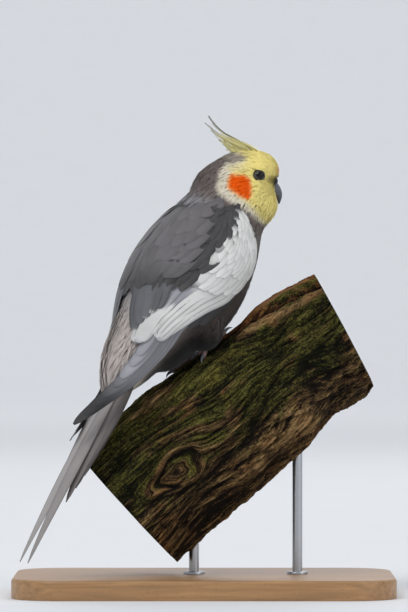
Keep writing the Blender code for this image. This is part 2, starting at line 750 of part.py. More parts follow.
def wing_place(along, across, side):
    """Points of the sheet that a folded wing's feathers lie on, held off the flesh by a gap."""
    values = np.array([between(WING_STATIONS, a) for a in along])
    angle = np.radians(values[:, 0] + (values[:, 2] - values[:, 0]) * across)
    radius = values[:, 1] + (values[:, 3] - values[:, 1]) * across
    local = np.stack([along, side * radius * np.sin(angle), radius * np.cos(angle)], axis=-1)
    if side > 0:
        share = np.clip((-30.0 - np.array(along)) / 50.0, 0.0, 1.0)
        share = share * share * (3.0 - 2.0 * share)
        local = local + share[:, None] * np.array(FAR_TIP_SHIFT)
    points = local @ np.array(TORSO.to_3x3()).T + np.array(TORSO.translation)
    for _ in range(5):
        depth = np.maximum(WING_GAP - flesh_distance(points), 0.0)
        points = points + flesh_slope(points) * depth[:, None]
    return points


def wing_sheet(along, across, side):
    """The wing's sheet and the way out from it at each distance along and share across."""
    along, across = np.array(along, float), np.array(across, float)
    forward = wing_place(along + 0.6, across, side) - wing_place(along - 0.6, across, side)
    downward = wing_place(along, across + 0.02, side) - wing_place(along, across - 0.02, side)
    outward = np.cross(forward, downward) * side
    outward /= np.linalg.norm(outward, axis=1, keepdims=True)
    return wing_place(along, across, side), outward


def plate(inner, outer):
    """A closed solid between two like grids of points, its faces split alike on both."""
    bm = bmesh.new()
    rows, columns = inner.shape[:2]
    grids = [[[bm.verts.new(p) for p in row] for row in grid] for grid in (inner, outer)]
    for grid in grids:
        for i in range(rows - 1):
            for k in range(columns - 1):
                a, b, c, d = grid[i][k], grid[i + 1][k], grid[i + 1][k + 1], grid[i][k + 1]
                bm.faces.new((a, b, c))
                bm.faces.new((a, c, d))
    rim = [(i, 0) for i in range(rows)]
    rim += [(rows - 1, k) for k in range(1, columns)]
    rim += [(i, columns - 1) for i in range(rows - 2, -1, -1)]
    rim += [(0, k) for k in range(columns - 2, 0, -1)]
    low, high = grids
    for (i, k), (m, n) in zip(rim, rim[1:] + rim[:1]):
        bm.faces.new((low[i][k], low[m][n], high[m][n], high[i][k]))
    bmesh.ops.recalc_face_normals(bm, faces=bm.faces)
    return bm


def wing_dome(across):
    """How high the folded wing is at a share across it, as a share of its middle."""
    return 0.35 + 0.65 * np.sqrt(np.clip(1.0 - np.abs(2.0 * across - 1.0) ** 3, 0.0, 1.0))


def wing_core(side, rows, columns):
    """The wing's inner solid, from its bend to where its flight feathers come out."""
    inner, outer = [], []
    for i in range(rows):
        share = i / (rows - 1)
        across = np.linspace(0.03, 0.97, columns)
        rear = WING_CORE_END[0] + (WING_CORE_END[1] - WING_CORE_END[0]) * across**2
        points, outward = wing_sheet(WING_FRONT + (rear - WING_FRONT) * share, across, side)
        depth = WING_DEPTH * min(1.0, 0.25 + share * 4.0) * wing_dome(across)
        inner.append(points)
        outer.append(points + outward * depth[:, None])
    return plate(np.array(inner), np.array(outer))


def wing_feather(side, root, tip, width, lifts, lean, clear, outline):
    """One feather of a folded wing, its root sunk in the core and its lower edge raised."""
    share, widths = (np.array(column) for column in zip(*outline))
    along = root[0] + (tip[0] - root[0]) * share
    across = root[1] + (tip[1] - root[1]) * share
    points, outward = wing_sheet(along, across, side)
    upward = wing_place(along, across - 0.02, side) - points
    upward /= np.linalg.norm(upward, axis=1, keepdims=True)
    rise = np.clip((share - clear * 0.5) / (clear * 0.5), 0.0, 1.0)
    lift = (lifts[0] + (lifts[1] - lifts[0]) * rise) * wing_dome(np.clip(across, 0.0, 1.0))
    centres = [Vector(p) for p in points + outward * lift[:, None]]
    normals = [Vector(n) for n in outward + upward * lean]
    if outline is SHORT:
        return flat_vane(centres, normals, widths * width, WING_VANE)
    return vane(centres, normals, widths * width, WING_VANE, 0.05)


def build_wings():
    """The folded wings: a core with the flight feathers and coverts in tiers."""
    for side, name in ((-1, "wing_right"), (1, "wing_left")):
        wing = add_object(name, wing_core(side, 9, 9), "slate", TORSO)
        feathers = []
        for tier, (count, *ends) in WING_TIERS.items():
            width, (root_lift, first_lift, last_lift), lean, clear, outline = WING_FORMS[tier]
            first_root, last_root, first_tip, last_tip = (np.array(e) for e in ends)
            for share in np.linspace(0.0, 1.0, count):
                root = first_root + (last_root - first_root) * share
                tip = first_tip + (last_tip - first_tip) * share
                lifts = (root_lift, first_lift + (last_lift - first_lift) * share)
                made = wing_feather(side, root, tip, width, lifts, lean, clear, outline)
                feathers.append(add_object("feather", made, "slate"))
        boolean(wing, feathers, "UNION")


def build_tail():
    """The tail: the coverts' end, and six pairs of feathers, the middle pair longest and on top."""
    tail_axis = TAIL.to_3x3() @ Vector((1.0, 0.0, 0.0))
    core = flesh_solid(
        TAIL @ Vector((-16, 0, -1)), 3, cuts=((TAIL @ Vector((TAIL_CUT - GAP, 0, 0)), tail_axis),)
    )
    tail = add_object("tail", core, "pearl", TAIL)
    feathers = []
    share, widths = zip(*TAIL_OUTLINE)
    for k, (end, width) in enumerate(TAIL_PAIRS):
        for side in (-1, 1):
            centres, normals = [], []
            lean = math.radians(TAIL_LEAN if k else TAIL_MIDDLE_LEAN)
            step = k + 1 if k or side > 0 else 0
            start = TAIL_CUT - TAIL_ROOT_DEPTH
            for s in share:
                x = start + (end - start) * s
                y = width / 2.0 + 0.3 + 0.45 * k + (0.2 + 0.55 * k) * s if k else 2.0 + 2.0 * s
                z = TAIL_TOP - TAIL_STEP * step - width / 2.0 * math.sin(lean)
                z += TAIL_RISE * math.sin(math.pi * s) - TAIL_DROOP * s**3
                centres.append(TAIL @ Vector((x, side * y, z)))
                normals.append(TAIL.to_3x3() @ Vector((0.0, side * math.sin(lean), math.cos(lean))))
            made = vane(centres, normals, [w * width for w in widths], TAIL_VANE, 0.04)
            feathers.append(add_object("feather", made, "pearl"))
    boolean(tail, feathers, "UNION")


def on_bark(point, height):
    """The nearest place straight out from the limb's middle line at a height over the bark."""
    _, centre, _ = limb_share(point)
    return point + (point - centre).normalized() * (height - limb_distance(point))


def limb_cutter():
    """Most of the limb, grown by a gap, as a tool to cut what rests on it."""
    return add_object("limb_cutter", limb_form(0.05, 0.95, 25, 48, GAP), "bark")


def foot_pieces(side, grow=0.0):
    """The pieces of one foot: its shank, its ball, and four toes with claws on the bark."""
    pieces = []
    at = BODY @ Vector((BALL_AT[0], side * BALL_AT[1], 0.0))
    at.z = limb_height(at.x, at.y, True)
    middle = on_bark(at, BALL_RADIUS + GAP)
    pieces.append(add_object("ball", ball(middle, [BALL_RADIUS + grow] * 3, WORLD, 2), "foot"))
    knee = BODY @ Vector((THIGH_AT[0] + 2.0, side * THIGH_AT[1] * 0.9, THIGH_AT[2] - 2.0))
    shank = tube([knee, middle], [r + grow for r in SHANK_RADII], 8, up=(0.0, 1.0, 0.0))
    pieces.append(add_object("shank", shank, "foot"))
    for length, turn in TOES:
        turn = math.radians(turn * -side)
        heading = BODY.to_3x3() @ Vector((math.cos(turn), math.sin(turn), 0.0))
        points, radii = [], []
        for k in range(4):
            share = k / 3
            radius = TOE_RADIUS * (1.0 - 0.25 * share)
            points.append(on_bark(middle + heading * length * share, radius + GAP))
            radii.append(radius + grow)
        pieces.append(add_object("toe", tube(points, radii, 7), "foot"))
        ahead = (points[-1] - points[-2]).normalized()
        up = (points[-1] - on_bark(points[-1], 0.0)).normalized()
        claw_at = [points[-1] - ahead * 0.8 + up * 0.3]
        claw_at.append(points[-1] + ahead * CLAW_LENGTH * 0.5 + up * 0.5)
        claw_at.append(on_bark(points[-1] + ahead * CLAW_LENGTH * 0.9, 0.9 + GAP))
        claw = tube(claw_at, [r + grow for r in CLAW_RADII], 6)
        pieces.append(add_object("claw", claw, "horn"))
    return pieces


def build_legs():
    """The feathered thighs, and the feet that grip the bark."""
    for side, name in ((-1, "right"), (1, "left")):
        place = (THIGH_AT[0], side * THIGH_AT[1], THIGH_AT[2])
        leg = add_object("leg_" + name, ball(place, THIGH_SIZE, BODY, 3), "grey", BODY)
        torso = add_object("torso_cutter", flesh_solid(TORSO @ Vector((0, 0, 0)), 4, GAP), "grey")
        boolean(leg, [torso, limb_cutter()] + foot_pieces(side, GAP), "DIFFERENCE")
        first, *others = foot_pieces(side)
        first.name = "foot_" + name
        boolean(first, others, "UNION")


def main():
    for old in list(bpy.data.objects):
        bpy.data.objects.remove(old)
    build_stand()
    build_limb()
    build_body()
    build_wings()
    build_tail()
    build_legs()


main()
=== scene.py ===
"""A life-size cockatiel on a cut length of thick limb, held by a plain display stand.

Shapes are worked out in millimetres and turn to metres as each mesh is made. +Z is up and -Y
faces the viewer. The bird looks towards +X, turned a little away from the viewer.
"""

import math

import bmesh
import bpy
import numpy as np
from bpy.props import FloatProperty, FloatVectorProperty, IntProperty, PointerProperty
from mathutils import Matrix, Vector, kdtree, noise


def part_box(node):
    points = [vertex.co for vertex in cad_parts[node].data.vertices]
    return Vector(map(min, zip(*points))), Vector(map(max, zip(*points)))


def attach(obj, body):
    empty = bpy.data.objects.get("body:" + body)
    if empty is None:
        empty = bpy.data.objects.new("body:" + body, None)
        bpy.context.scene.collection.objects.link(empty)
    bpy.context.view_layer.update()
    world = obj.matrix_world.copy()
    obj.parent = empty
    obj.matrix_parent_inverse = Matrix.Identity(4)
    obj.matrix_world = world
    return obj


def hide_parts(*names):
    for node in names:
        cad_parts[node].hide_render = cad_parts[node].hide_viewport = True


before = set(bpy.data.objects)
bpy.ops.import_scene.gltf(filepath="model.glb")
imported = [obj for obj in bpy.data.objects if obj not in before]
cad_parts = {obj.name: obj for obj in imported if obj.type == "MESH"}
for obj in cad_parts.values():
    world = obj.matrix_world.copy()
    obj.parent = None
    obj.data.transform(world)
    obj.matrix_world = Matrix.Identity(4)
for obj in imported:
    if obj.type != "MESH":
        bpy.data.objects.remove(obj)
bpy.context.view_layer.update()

bl_info = {
    "name": "Cockatiel display model",
    "version": (1, 0, 0),
    "blender": (4, 5, 0),
    "location": "3D View > Sidebar > Cockatiel",
    "description": "Dresses the packed cockatiel, its limb and its stand",
    "category": "Object",
}

MM = 0.001


def turned(at, yaw, pitch=0.0, roll=0.0):
    """The place of a frame turned by yaw about Z, raised by pitch, and rolled about its x axis."""
    return np.array(
        Matrix.Translation(at)
        @ Matrix.Rotation(math.radians(yaw), 4, "Z")
        @ Matrix.Rotation(math.radians(-pitch), 4, "Y")
        @ Matrix.Rotation(math.radians(roll), 4, "X")
    )


def out_of(place, points):
    """Points given in a frame, in the row's own frame."""
    return np.asarray(points, float) @ place[:3, :3].T + place[:3, 3]


def into(place, points):
    """Points of the row, as a frame has them."""
    return (np.asarray(points, float) - place[:3, 3]) @ place[:3, :3]


# The bird's frames, as the solids have them
BODY_YAW, BODY_PITCH = 32.0, 54.7
BIRD_AT = (-10.0, -7.0, 188.5)
BODY = turned(BIRD_AT, BODY_YAW)
TORSO = turned(BIRD_AT, BODY_YAW, BODY_PITCH)
TAIL = turned(out_of(TORSO, (-60.0, 0.0, 5.4)), BODY_YAW, 57.9, 10.0)
HEAD = turned((24.6, 11.0, 248.5), 5.0)
WORLD = np.eye(4)

# The flesh with its coat: frame, centre, half sizes along the frame's axes
MASSES = (
    (TORSO, (0.0, 0.0, 0.0), (60.0, 27.5, 32.0)),
    (TORSO, (24.0, 0.0, -6.0), (32.0, 27.0, 25.0)),
    (TORSO, (2.0, 0.0, -14.0), (40.0, 23.0, 23.0)),
    (TORSO, (-34.0, 0.0, -12.0), (23.0, 16.0, 13.0)),
    (TORSO, (-46.0, 0.0, 4.0), (36.0, 20.0, 17.0)),
    (TAIL, (4.0, 0.0, -1.0), (32.0, 12.5, 8.5)),
    (TORSO, (46.0, 0.0, 0.0), (34.0, 23.0, 24.0)),
    (HEAD, (-13.0, -1.0, -9.0), (17.0, 17.0, 20.0)),
    (HEAD, (-1.0, 0.0, 1.0), (19.5, 15.0, 17.0)),
    (HEAD, (9.0, 0.0, 6.0), (11.5, 10.5, 11.0)),
    (HEAD, (2.0, 0.0, -7.0), (13.0, 15.0, 12.0)),
    (HEAD, (9.5, 0.0, -13.5), (10.5, 11.5, 13.0)),
)
THIGHS = (
    (BODY, (2.5, -16.0, -29.0), (12.0, 9.5, 13.5)),
    (BODY, (2.5, 16.0, -29.0), (12.0, 9.5, 13.5)),
)
BLEND = 5.0

# The folded wing's sheet: distance along the spine, then the angle round from the back and the
# distance from the spine, at its upper edge and at its lower edge
WING_STATIONS = (
    (46.0, 42.0, 24.0, 84.0, 24.0),
    (36.0, 24.0, 27.0, 113.0, 27.0),
    (20.0, 14.0, 31.0, 134.0, 30.0),
    (0.0, 11.0, 33.0, 125.0, 31.0),
    (-16.0, 10.0, 31.5, 112.0, 30.0),
    (-36.0, 20.0, 27.0, 108.0, 26.0),
    (-54.0, 35.0, 22.5, 109.0, 21.5),
    (-80.0, 31.0, 21.0, 93.0, 15.0),
    (-100.0, 22.0, 19.5, 55.0, 14.0),
    (-118.0, 13.0, 18.0, 22.0, 17.0),
)
WING_GAP = 0.6
WING_FRONT = 42.0
WING_REAR = (-14.0, 12.0)
FAR_TIP_SHIFT = (-5.0, 1.0, -10.0)
WING_BREADTH = 55.0

# Outlines of a vane: share of its length, share of its width
BLUNT = ((0.0, 0.4), (0.2, 0.9), (0.4, 1.0), (0.8, 0.98), (0.92, 0.86), (0.98, 0.6), (1.0, 0.25))
ROUNDED = ((0.0, 0.4), (0.3, 0.95), (0.6, 1.0), (0.85, 0.8), (0.95, 0.5), (1.0, 0.1))
BLADE = ((0.0, 0.5), (0.35, 1.0), (0.7, 0.82), (0.9, 0.45), (1.0, 0.08))
TAPERED = ((0.0, 0.45), (0.15, 0.85), (0.4, 1.0), (0.62, 0.88), (0.82, 0.56), (0.95, 0.3), (1.0, 0.06))

# A wing's feathers: count, first and last root, first and last tip as distance along the spine and
# share across the wing, width, height of the root and of the first and last tip over the sheet,
# lean, and outline
FLIGHT_TIERS = {
    "primaries": (8, (13.0, 0.92), (-9.0, 0.45), (-117.0, 0.40), (-64.0, 0.31), 8.4, (0.9, 1.5, 2.6), 0.42, BLUNT),
    "secondaries": (8, (15.0, 0.94), (-8.0, 0.14), (-27.0, 0.99), (-50.0, 0.08), 9.5, (1.7, 2.6, 2.8), 0.12, BLUNT),
    "inner": (9, (12.0, 0.94), (0.0, 0.36), (-45.0, 0.55), (-57.0, 0.08), 10.0, (3.0, 3.8, 3.6), 0.08, BLUNT),
    "tertials": (5, (6.0, 0.34), (2.0, 0.04), (-33.0, 0.36), (-49.0, 0.05), 10.0, (2.8, 4.2, 4.2), 0.12, BLUNT),
}
COVERT_TIERS = {
    "greater": (16, (25.0, 0.95), (0.0, 0.20), (2.0, 0.95), (-29.0, 0.24), 8.0, (3.1, 4.0, 4.2), 0.14, ROUNDED),
    "median": (17, (33.0, 0.94), (12.0, 0.22), (13.0, 0.94), (-14.0, 0.28), 7.0, (3.2, 4.1, 4.3), 0.12, ROUNDED),
    "lesser_a": (18, (36.0, 0.94), (18.0, 0.24), (18.0, 0.94), (-5.0, 0.28), 6.5, (3.3, 4.1, 4.4), 0.12, ROUNDED),
    "lesser_b": (18, (39.0, 0.93), (23.0, 0.24), (24.0, 0.95), (3.0, 0.28), 6.0, (3.3, 4.1, 4.4), 0.12, ROUNDED),
    "lesser_c": (18, (42.0, 0.92), (28.0, 0.24), (29.0, 0.94), (10.0, 0.28), 5.5, (3.3, 4.1, 4.4), 0.12, ROUNDED),
    "lesser_d": (17, (44.0, 0.91), (33.0, 0.24), (33.0, 0.94), (17.0, 0.28), 5.5, (3.3, 4.1, 4.4), 0.12, ROUNDED),
    "lesser_e": (16, (46.0, 0.88), (37.0, 0.24), (37.0, 0.93), (24.0, 0.28), 5.0, (3.2, 4.0, 4.4), 0.12, ROUNDED),
    "lesser_f": (15, (45.5, 0.86), (40.0, 0.24), (39.0, 0.91), (29.0, 0.28), 5.0, (2.2, 3.6, 4.3), 0.12, ROUNDED),
    "bend": (13, (45.5, 0.82), (42.0, 0.22), (41.0, 0.90), (34.0, 0.26), 4.5, (0.8, 3.0, 4.0), 0.12, ROUNDED),
    "scapular_a": (8, (16.0, 0.32), (8.0, -0.10), (-14.0, 0.37), (-30.0, -0.06), 13.0, (3.4, 4.5, 4.5), 0.10, ROUNDED),
    "scapular_b": (8, (24.0, 0.31), (14.0, -0.12), (-4.0, 0.35), (-20.0, -0.08), 13.0, (3.5, 4.6, 4.6), 0.10, ROUNDED),
    "scapular_c": (8, (32.0, 0.29), (22.0, -0.14), (6.0, 0.32), (-9.0, -0.12), 12.5, (3.5, 4.7, 4.7), 0.10, ROUNDED),
    "scapular_d": (8, (40.0, 0.24), (31.0, -0.16), (15.0, 0.29), (2.0, -0.14), 12.0, (3.2, 4.7, 4.7), 0.10, ROUNDED),
    "scapular_e": (7, (45.0, 0.18), (41.0, -0.18), (25.0, 0.25), (14.0, -0.16), 11.0, (1.8, 4.6, 4.7), 0.10, ROUNDED),
}

# Where the wing is white: an outline in distance along the spine and share across the wing
WHITE_PATCH = (
    (50.0, 0.86), (44.0, 1.10), (0.0, 1.10), (-6.0, 0.97), (-13.0, 0.91), (-21.0, 0.89), (-29.0, 0.81),
    (-37.0, 0.67), (-44.0, 0.49), (-51.0, 0.26), (-57.0, 0.08), (-52.0, 0.03), (-46.0, 0.12),
    (-38.0, 0.28), (-31.0, 0.36), (-27.0, 0.45), (-28.0, 0.54), (-23.0, 0.59), (-19.0, 0.61),
    (-12.0, 0.62), (-7.0, 0.59), (1.0, 0.56), (7.0, 0.54), (14.0, 0.53), (20.0, 0.51), (24.0, 0.55),
    (33.0, 0.58), (39.0, 0.63), (45.0, 0.74),
)

# The scapulars' outer edge, where their painted shadow darkens the coverts: distance along the spine, share across
SCAPULAR_EDGE = ((47.0, 0.02), (37.0, 0.1), (28.0, 0.23), (17.0, 0.28), (7.0, 0.31), (-4.0, 0.35), (-30.0, 0.38))

# The face's marks as outlines in the head's x and z, the same on both sides
MASK = (
    (-8.1, 40.0), (-8.1, 17.5), (0.5, 13.6), (-1.5, 12.0), (-11.3, 10.4), (-16.7, 5.1), (-17.8, 0.2),
    (-18.9, -4.1), (-17.8, -8.4), (-13.5, -12.2), (-7.0, -15.9), (-1.6, -19.2), (2.7, -21.9),
    (6.5, -25.1), (10.8, -27.3), (40.0, -30.0), (40.0, 40.0),
)
CHEEK = (
    (-10.2, 3.4), (-1.6, 3.2), (1.6, 0.7), (2.7, -4.1), (2.2, -11.1), (-0.5, -12.7), (-5.4, -10.5),
    (-10.2, -7.3), (-12.6, -5.2), (-12.4, -0.9),
)

# Eye, lids and bill in the head's frame
EYE_AT = (6.9, 10.7, 2.4)
EYE_AXIS = (0.25, 0.96, 0.10)
EYE_RADIUS = 4.3
LID_INNER = 2.45
LID_OUTER = 3.7
CERE_AT = (16.4, 0.0, -0.6)
CERE_SIZE = (3.6, 4.6, 3.0)
NOSTRIL_AT = (1.2, 2.4, 1.7)
UPPER_BILL = (
    (12.5, -4.6, 4.4, 4.2), (16.6, -4.6, 4.3, 4.2), (19.4, -7.2, 3.3, 3.1), (20.6, -10.2, 2.1, 1.9),
    (20.7, -14.2, 0.4, 0.3),
)
LOWER_BILL = ((10.5, -11.0, 3.4, 1.9), (14.6, -12.6, 3.2, 1.8), (17.4, -12.8, 2.1, 1.1))

# The tail's feathers in pairs from the middle out: where each ends, and its width
TAIL_PAIRS = ((-141.0, 9.5), (-98.0, 10.5), (-88.0, 11.0), (-79.0, 11.0), (-70.0, 10.5), (-61.0, 10.0))
TAIL_START = -13.0

# The crest's lowest, middle and top feathers in the head's x and z
CREST_GUIDES = (
    ((-5.0, 15.6), (-8.7, 17.9), (-11.5, 20.3), (-14.6, 22.7)),
    ((4.0, 16.5), (-1.5, 20.4), (-7.1, 22.9), (-13.6, 26.1), (-19.0, 29.9), (-24.3, 34.7)),
    ((13.0, 15.2), (7.8, 19.1), (3.0, 21.5), (-1.6, 23.4), (-7.1, 26.1), (-12.5, 28.8), (-17.9, 33.6), (-21.9, 39.0)),
)

# The limb's middle line, and the feet that grip it
LIMB_LINE = ((-45.6, 0.0, 52.2), (47.4, 0.0, 137.4), (84.6, 0.0, 157.2))
LIMB_RADIUS = 40.5
LIMB_LENGTH = 170.0
KNOT_AT = (67.0, 27.0)
KNOT_RADIUS = 8.5
LIMB_SIDE = np.array((0.0, -1.0, 0.0))
THIGH_AT = (2.5, 16.0, -29.0)
BALL_AT = (9.0, 11.0)
BALL_RADIUS = 2.4
TOE_RADIUS = 1.7
TOES = ((18.0, -14.0), (12.5, 16.0), (16.0, -152.0), (10.0, 158.0))
CLAW_LENGTH = 5.5
GAP = 0.35

ROD_RADIUS = 3.0
BASE_CORNER = 30.0


def linear(hex_colour):
    """An sRGB hex colour as linear red, green and blue."""
    parts = [int(hex_colour[i : i + 2], 16) / 255.0 for i in (0, 2, 4)]
    return tuple(c / 12.92 if c <= 0.04045 else ((c + 0.055) / 1.055) ** 2.4 for c in parts)


def colour_prop(name, description, hex_colour):
    return FloatVectorProperty(
        name=name, description=description, default=linear(hex_colour), subtype="COLOR", min=0.0, max=1.0
    )


def length_prop(name, description, millimetres):
    return FloatProperty(
        name=name, description=description, default=millimetres * MM, min=0.0, unit="LENGTH", precision=4
    )


class BirdSettings(bpy.types.PropertyGroup):
    """Sizes and colours of the bird."""

    coat_depth: length_prop("Coat depth", "From the skin to the coat's surface on the body", 2.2)
    face_depth: length_prop("Face coat depth", "From the skin to the coat's surface round the eye", 1.0)
    blade_length: length_prop("Body tuft length", "Length of a tuft on the back and breast", 8.5)
    blade_width: length_prop("Body tuft width", "Width of a tuft on the back and breast", 1.3)
    blade_spacing: length_prop("Body tuft spacing", "Least distance between roots on the body", 0.8)
    face_spacing: length_prop("Face tuft spacing", "Least distance between roots on the face", 0.42)
    grey: colour_prop("Back grey", "The upper back between the wings", "8a888b")
    nape: colour_prop("Nape", "Nape and neck", "706662")
    breast: colour_prop("Breast", "Breast and flanks", "6a635f")
    belly: colour_prop("Belly", "Belly and thighs", "4f4641")
    # near black: the vent's own dark colour with painted shade under the tail's root
    vent_and_shade: colour_prop("Vent", "Under the tail's root", "0f0c0a")
    rump: colour_prop("Rump", "Rump and upper tail coverts", "b7ada7")
    slate: colour_prop("Slate coverts", "Dark wing coverts", "4b4a4b")
    scapular: colour_prop("Scapulars", "Soft grey shoulder feathers", "726f71")
    primary: colour_prop("Flight feathers", "Primaries and secondaries", "aeaeb4")
    white: colour_prop("White", "The wing's white patch", "efeeeb")
    pearl: colour_prop("Pearl", "Tail feathers", "b2aca9")
    yellow: colour_prop("Yellow", "Face, forehead and throat", "f7e68e")
    cream: colour_prop("Cream", "The pale rim behind and below the cheek", "e0d8c3")
    orange: colour_prop("Orange", "The round cheek patch", "f45c00")
    crest: colour_prop("Crest", "The crest's dark tips", "5a5633")
    horn: colour_prop("Horn", "Bill and claws", "5b5f65")
    foot: colour_prop("Foot", "Skin of the feet", "9a7f79")


class MountSettings(bpy.types.PropertyGroup):
    """Sizes and colours of the limb, the stand and the studio."""

    # the light tone is partly the weathered ridges' own colour, partly painted light on the raised upper bark
    bleached_and_lit_bark: colour_prop("Light bark", "Ridges of the bark, bleached by the weather", "a5865a")
    bark: colour_prop("Bark", "Weathered bark", "6d5533")
    bark_dark: colour_prop("Dark bark", "Cracks and furrows", "21170c")
    bare: colour_prop("Bare wood", "Worn wood along the groove", "ad6e3e")
    moss: colour_prop("Moss", "Moss on the upper side", "52561c")
    board: colour_prop("Board", "Oiled beech", "b98d5e")
    floor: colour_prop("Floor", "The studio's floor", "eceef1")
    key_power: FloatProperty(name="Key light", description="Power of the main light", default=34.0, unit="POWER")
    fill_power: FloatProperty(name="Fill light", description="Power of the fill", default=15.0, unit="POWER")
    sky: FloatProperty(name="Sky", description="Strength of the even light from above", default=0.62)
    bark_rings: IntProperty(name="Bark rings", description="Faces along the limb", default=244)
    bark_sides: IntProperty(name="Bark sides", description="Faces round the limb", default=376)


def unit(vectors):
    """Vectors of length one."""
    return vectors / np.maximum(np.linalg.norm(vectors, axis=-1, keepdims=True), 1e-9)


def ramp(values, low, high):
    """A smooth step from 0 at low to 1 at high."""
    share = np.clip((values - low) / (high - low), 0.0, 1.0)
    return share * share * (3.0 - 2.0 * share)


def mixed(first, second, share):
    """Two colours or lists of colours, mixed by shares."""
    share = np.asarray(share)[..., None]
    return np.asarray(first) * (1.0 - share) + np.asarray(second) * share


def smooth_rows(table, at):
    """Rows of a table whose first column grows, read at places on a smooth curve through them."""
    table = np.asarray(table, float)
    at = np.clip(np.asarray(at, float), table[0, 0], table[-1, 0])
    i = np.clip(np.searchsorted(table[:, 0], at, side="right"), 1, len(table) - 1)
    rows = [table[np.clip(i + k, 0, len(table) - 1)] for k in (-2, -1, 0, 1)]
    x = ((at - rows[1][:, 0]) / (rows[2][:, 0] - rows[1][:, 0]))[:, None]
    before, first, second, after = rows
    found = first * 2.0 + (second - before) * x
    found += (before * 2.0 - first * 5.0 + second * 4.0 - after) * x**2
    found += (first * 3.0 - before - second * 3.0 + after) * x**3
    return found[:, 1:] / 2.0


def inside(points, outline):
    """How far flat points lie inside a closed outline, and negative outside it."""
    starts = np.asarray(outline, float)
    ends = np.roll(starts, -1, axis=0)
    away = points[:, None, :] - starts
    along = ends - starts
    share = np.clip((away * along).sum(-1) / (along * along).sum(-1), 0.0, 1.0)
    nearest = np.linalg.norm(away - along * share[..., None], axis=-1).min(axis=1)
    y = points[:, None, 1]
    spans = (starts[:, 1] > y) != (ends[:, 1] > y)
    slope = np.where(ends[:, 1] == starts[:, 1], 1e-9, ends[:, 1] - starts[:, 1])
    x = starts[:, 0] + (y - starts[:, 1]) * along[:, 0] / slope
    crossings = (spans & (points[:, None, 0] < x)).sum(axis=1)
    return np.where(crossings % 2 == 1, nearest, -nearest)


# Flesh


def ellipsoid_distance(points, mass):
    """About how far each point lies outside a mass, and negative inside it."""
    place, centre, radii = mass
    local = into(place, points) - centre
    scaled = np.linalg.norm(local / radii, axis=-1)
    slope = np.linalg.norm(local / np.square(radii), axis=-1)
    return scaled * (scaled - 1.0) / np.maximum(slope, 1e-9)


def flesh_distance(points, masses=MASSES):
    """About how far each point lies outside the coat's surface."""
    found = ellipsoid_distance(points, masses[0])
    for mass in masses[1:]:
        other = ellipsoid_distance(points, mass)
        share = np.clip(0.5 + 0.5 * (other - found) / BLEND, 0.0, 1.0)
        found = other * (1.0 - share) + found * share - BLEND * share * (1.0 - share)
    return found


def flesh_slope(points, masses=MASSES):
    """The direction straight out from the coat's surface."""
    step = 0.05
    slope = np.zeros_like(points)
    for axis in range(3):
        shift = np.zeros(3)
        shift[axis] = step
        slope[:, axis] = flesh_distance(points + shift, masses) - flesh_distance(points - shift, masses)
    return unit(slope)


def settle(points, level, rounds=3):
    """Moves points straight out or in to a level over the coat's surface, clear of the bark."""
    for _ in range(rounds):
        depth = level - flesh_distance(points, MASSES + THIGHS)
        points = points + flesh_slope(points, MASSES + THIGHS) * depth[:, None]
    return off_bark(points, 0.4)


def coat_depth(points):
    """How far under the coat's surface the skin lies: least round the eyes and the bill."""
    bird = bpy.context.scene.bird
    away = np.linalg.norm(into(HEAD, points) - (14.0, 0.0, 0.0), axis=-1)
    share = ramp(away, 12.0, 34.0)
    return (bird.face_depth * (1.0 - share) + bird.coat_depth * share) / MM


def lie(points):
    """The way the coat lies: back from the bill on the head, then down the body to the tail."""
    head = into(HEAD, points)
    from_bill = head - (21.0, 0.0, -3.0)
    from_bill[:, 1] *= 1.1
    head_way = unit(from_bill) @ HEAD[:3, :3].T
    body_way = -TORSO[:3, 0]
    tail_way = -TAIL[:3, 0]
    share = ramp(np.linalg.norm(head - (2.0, 0.0, 0.0), axis=-1), 12.0, 32.0)[:, None]
    rear = ramp(-into(TORSO, points)[:, 0], 30.0, 60.0)[:, None]
    body_way = body_way * (1.0 - rear) + tail_way * rear
    return unit(head_way * (1.0 - share) + body_way * share)


def spine_place(points):
    """Distance along the spine, angle round from the back, and distance from the spine."""
    local = into(TORSO, points)
    return local[:, 0], np.degrees(np.arctan2(np.abs(local[:, 1]), local[:, 2])), local


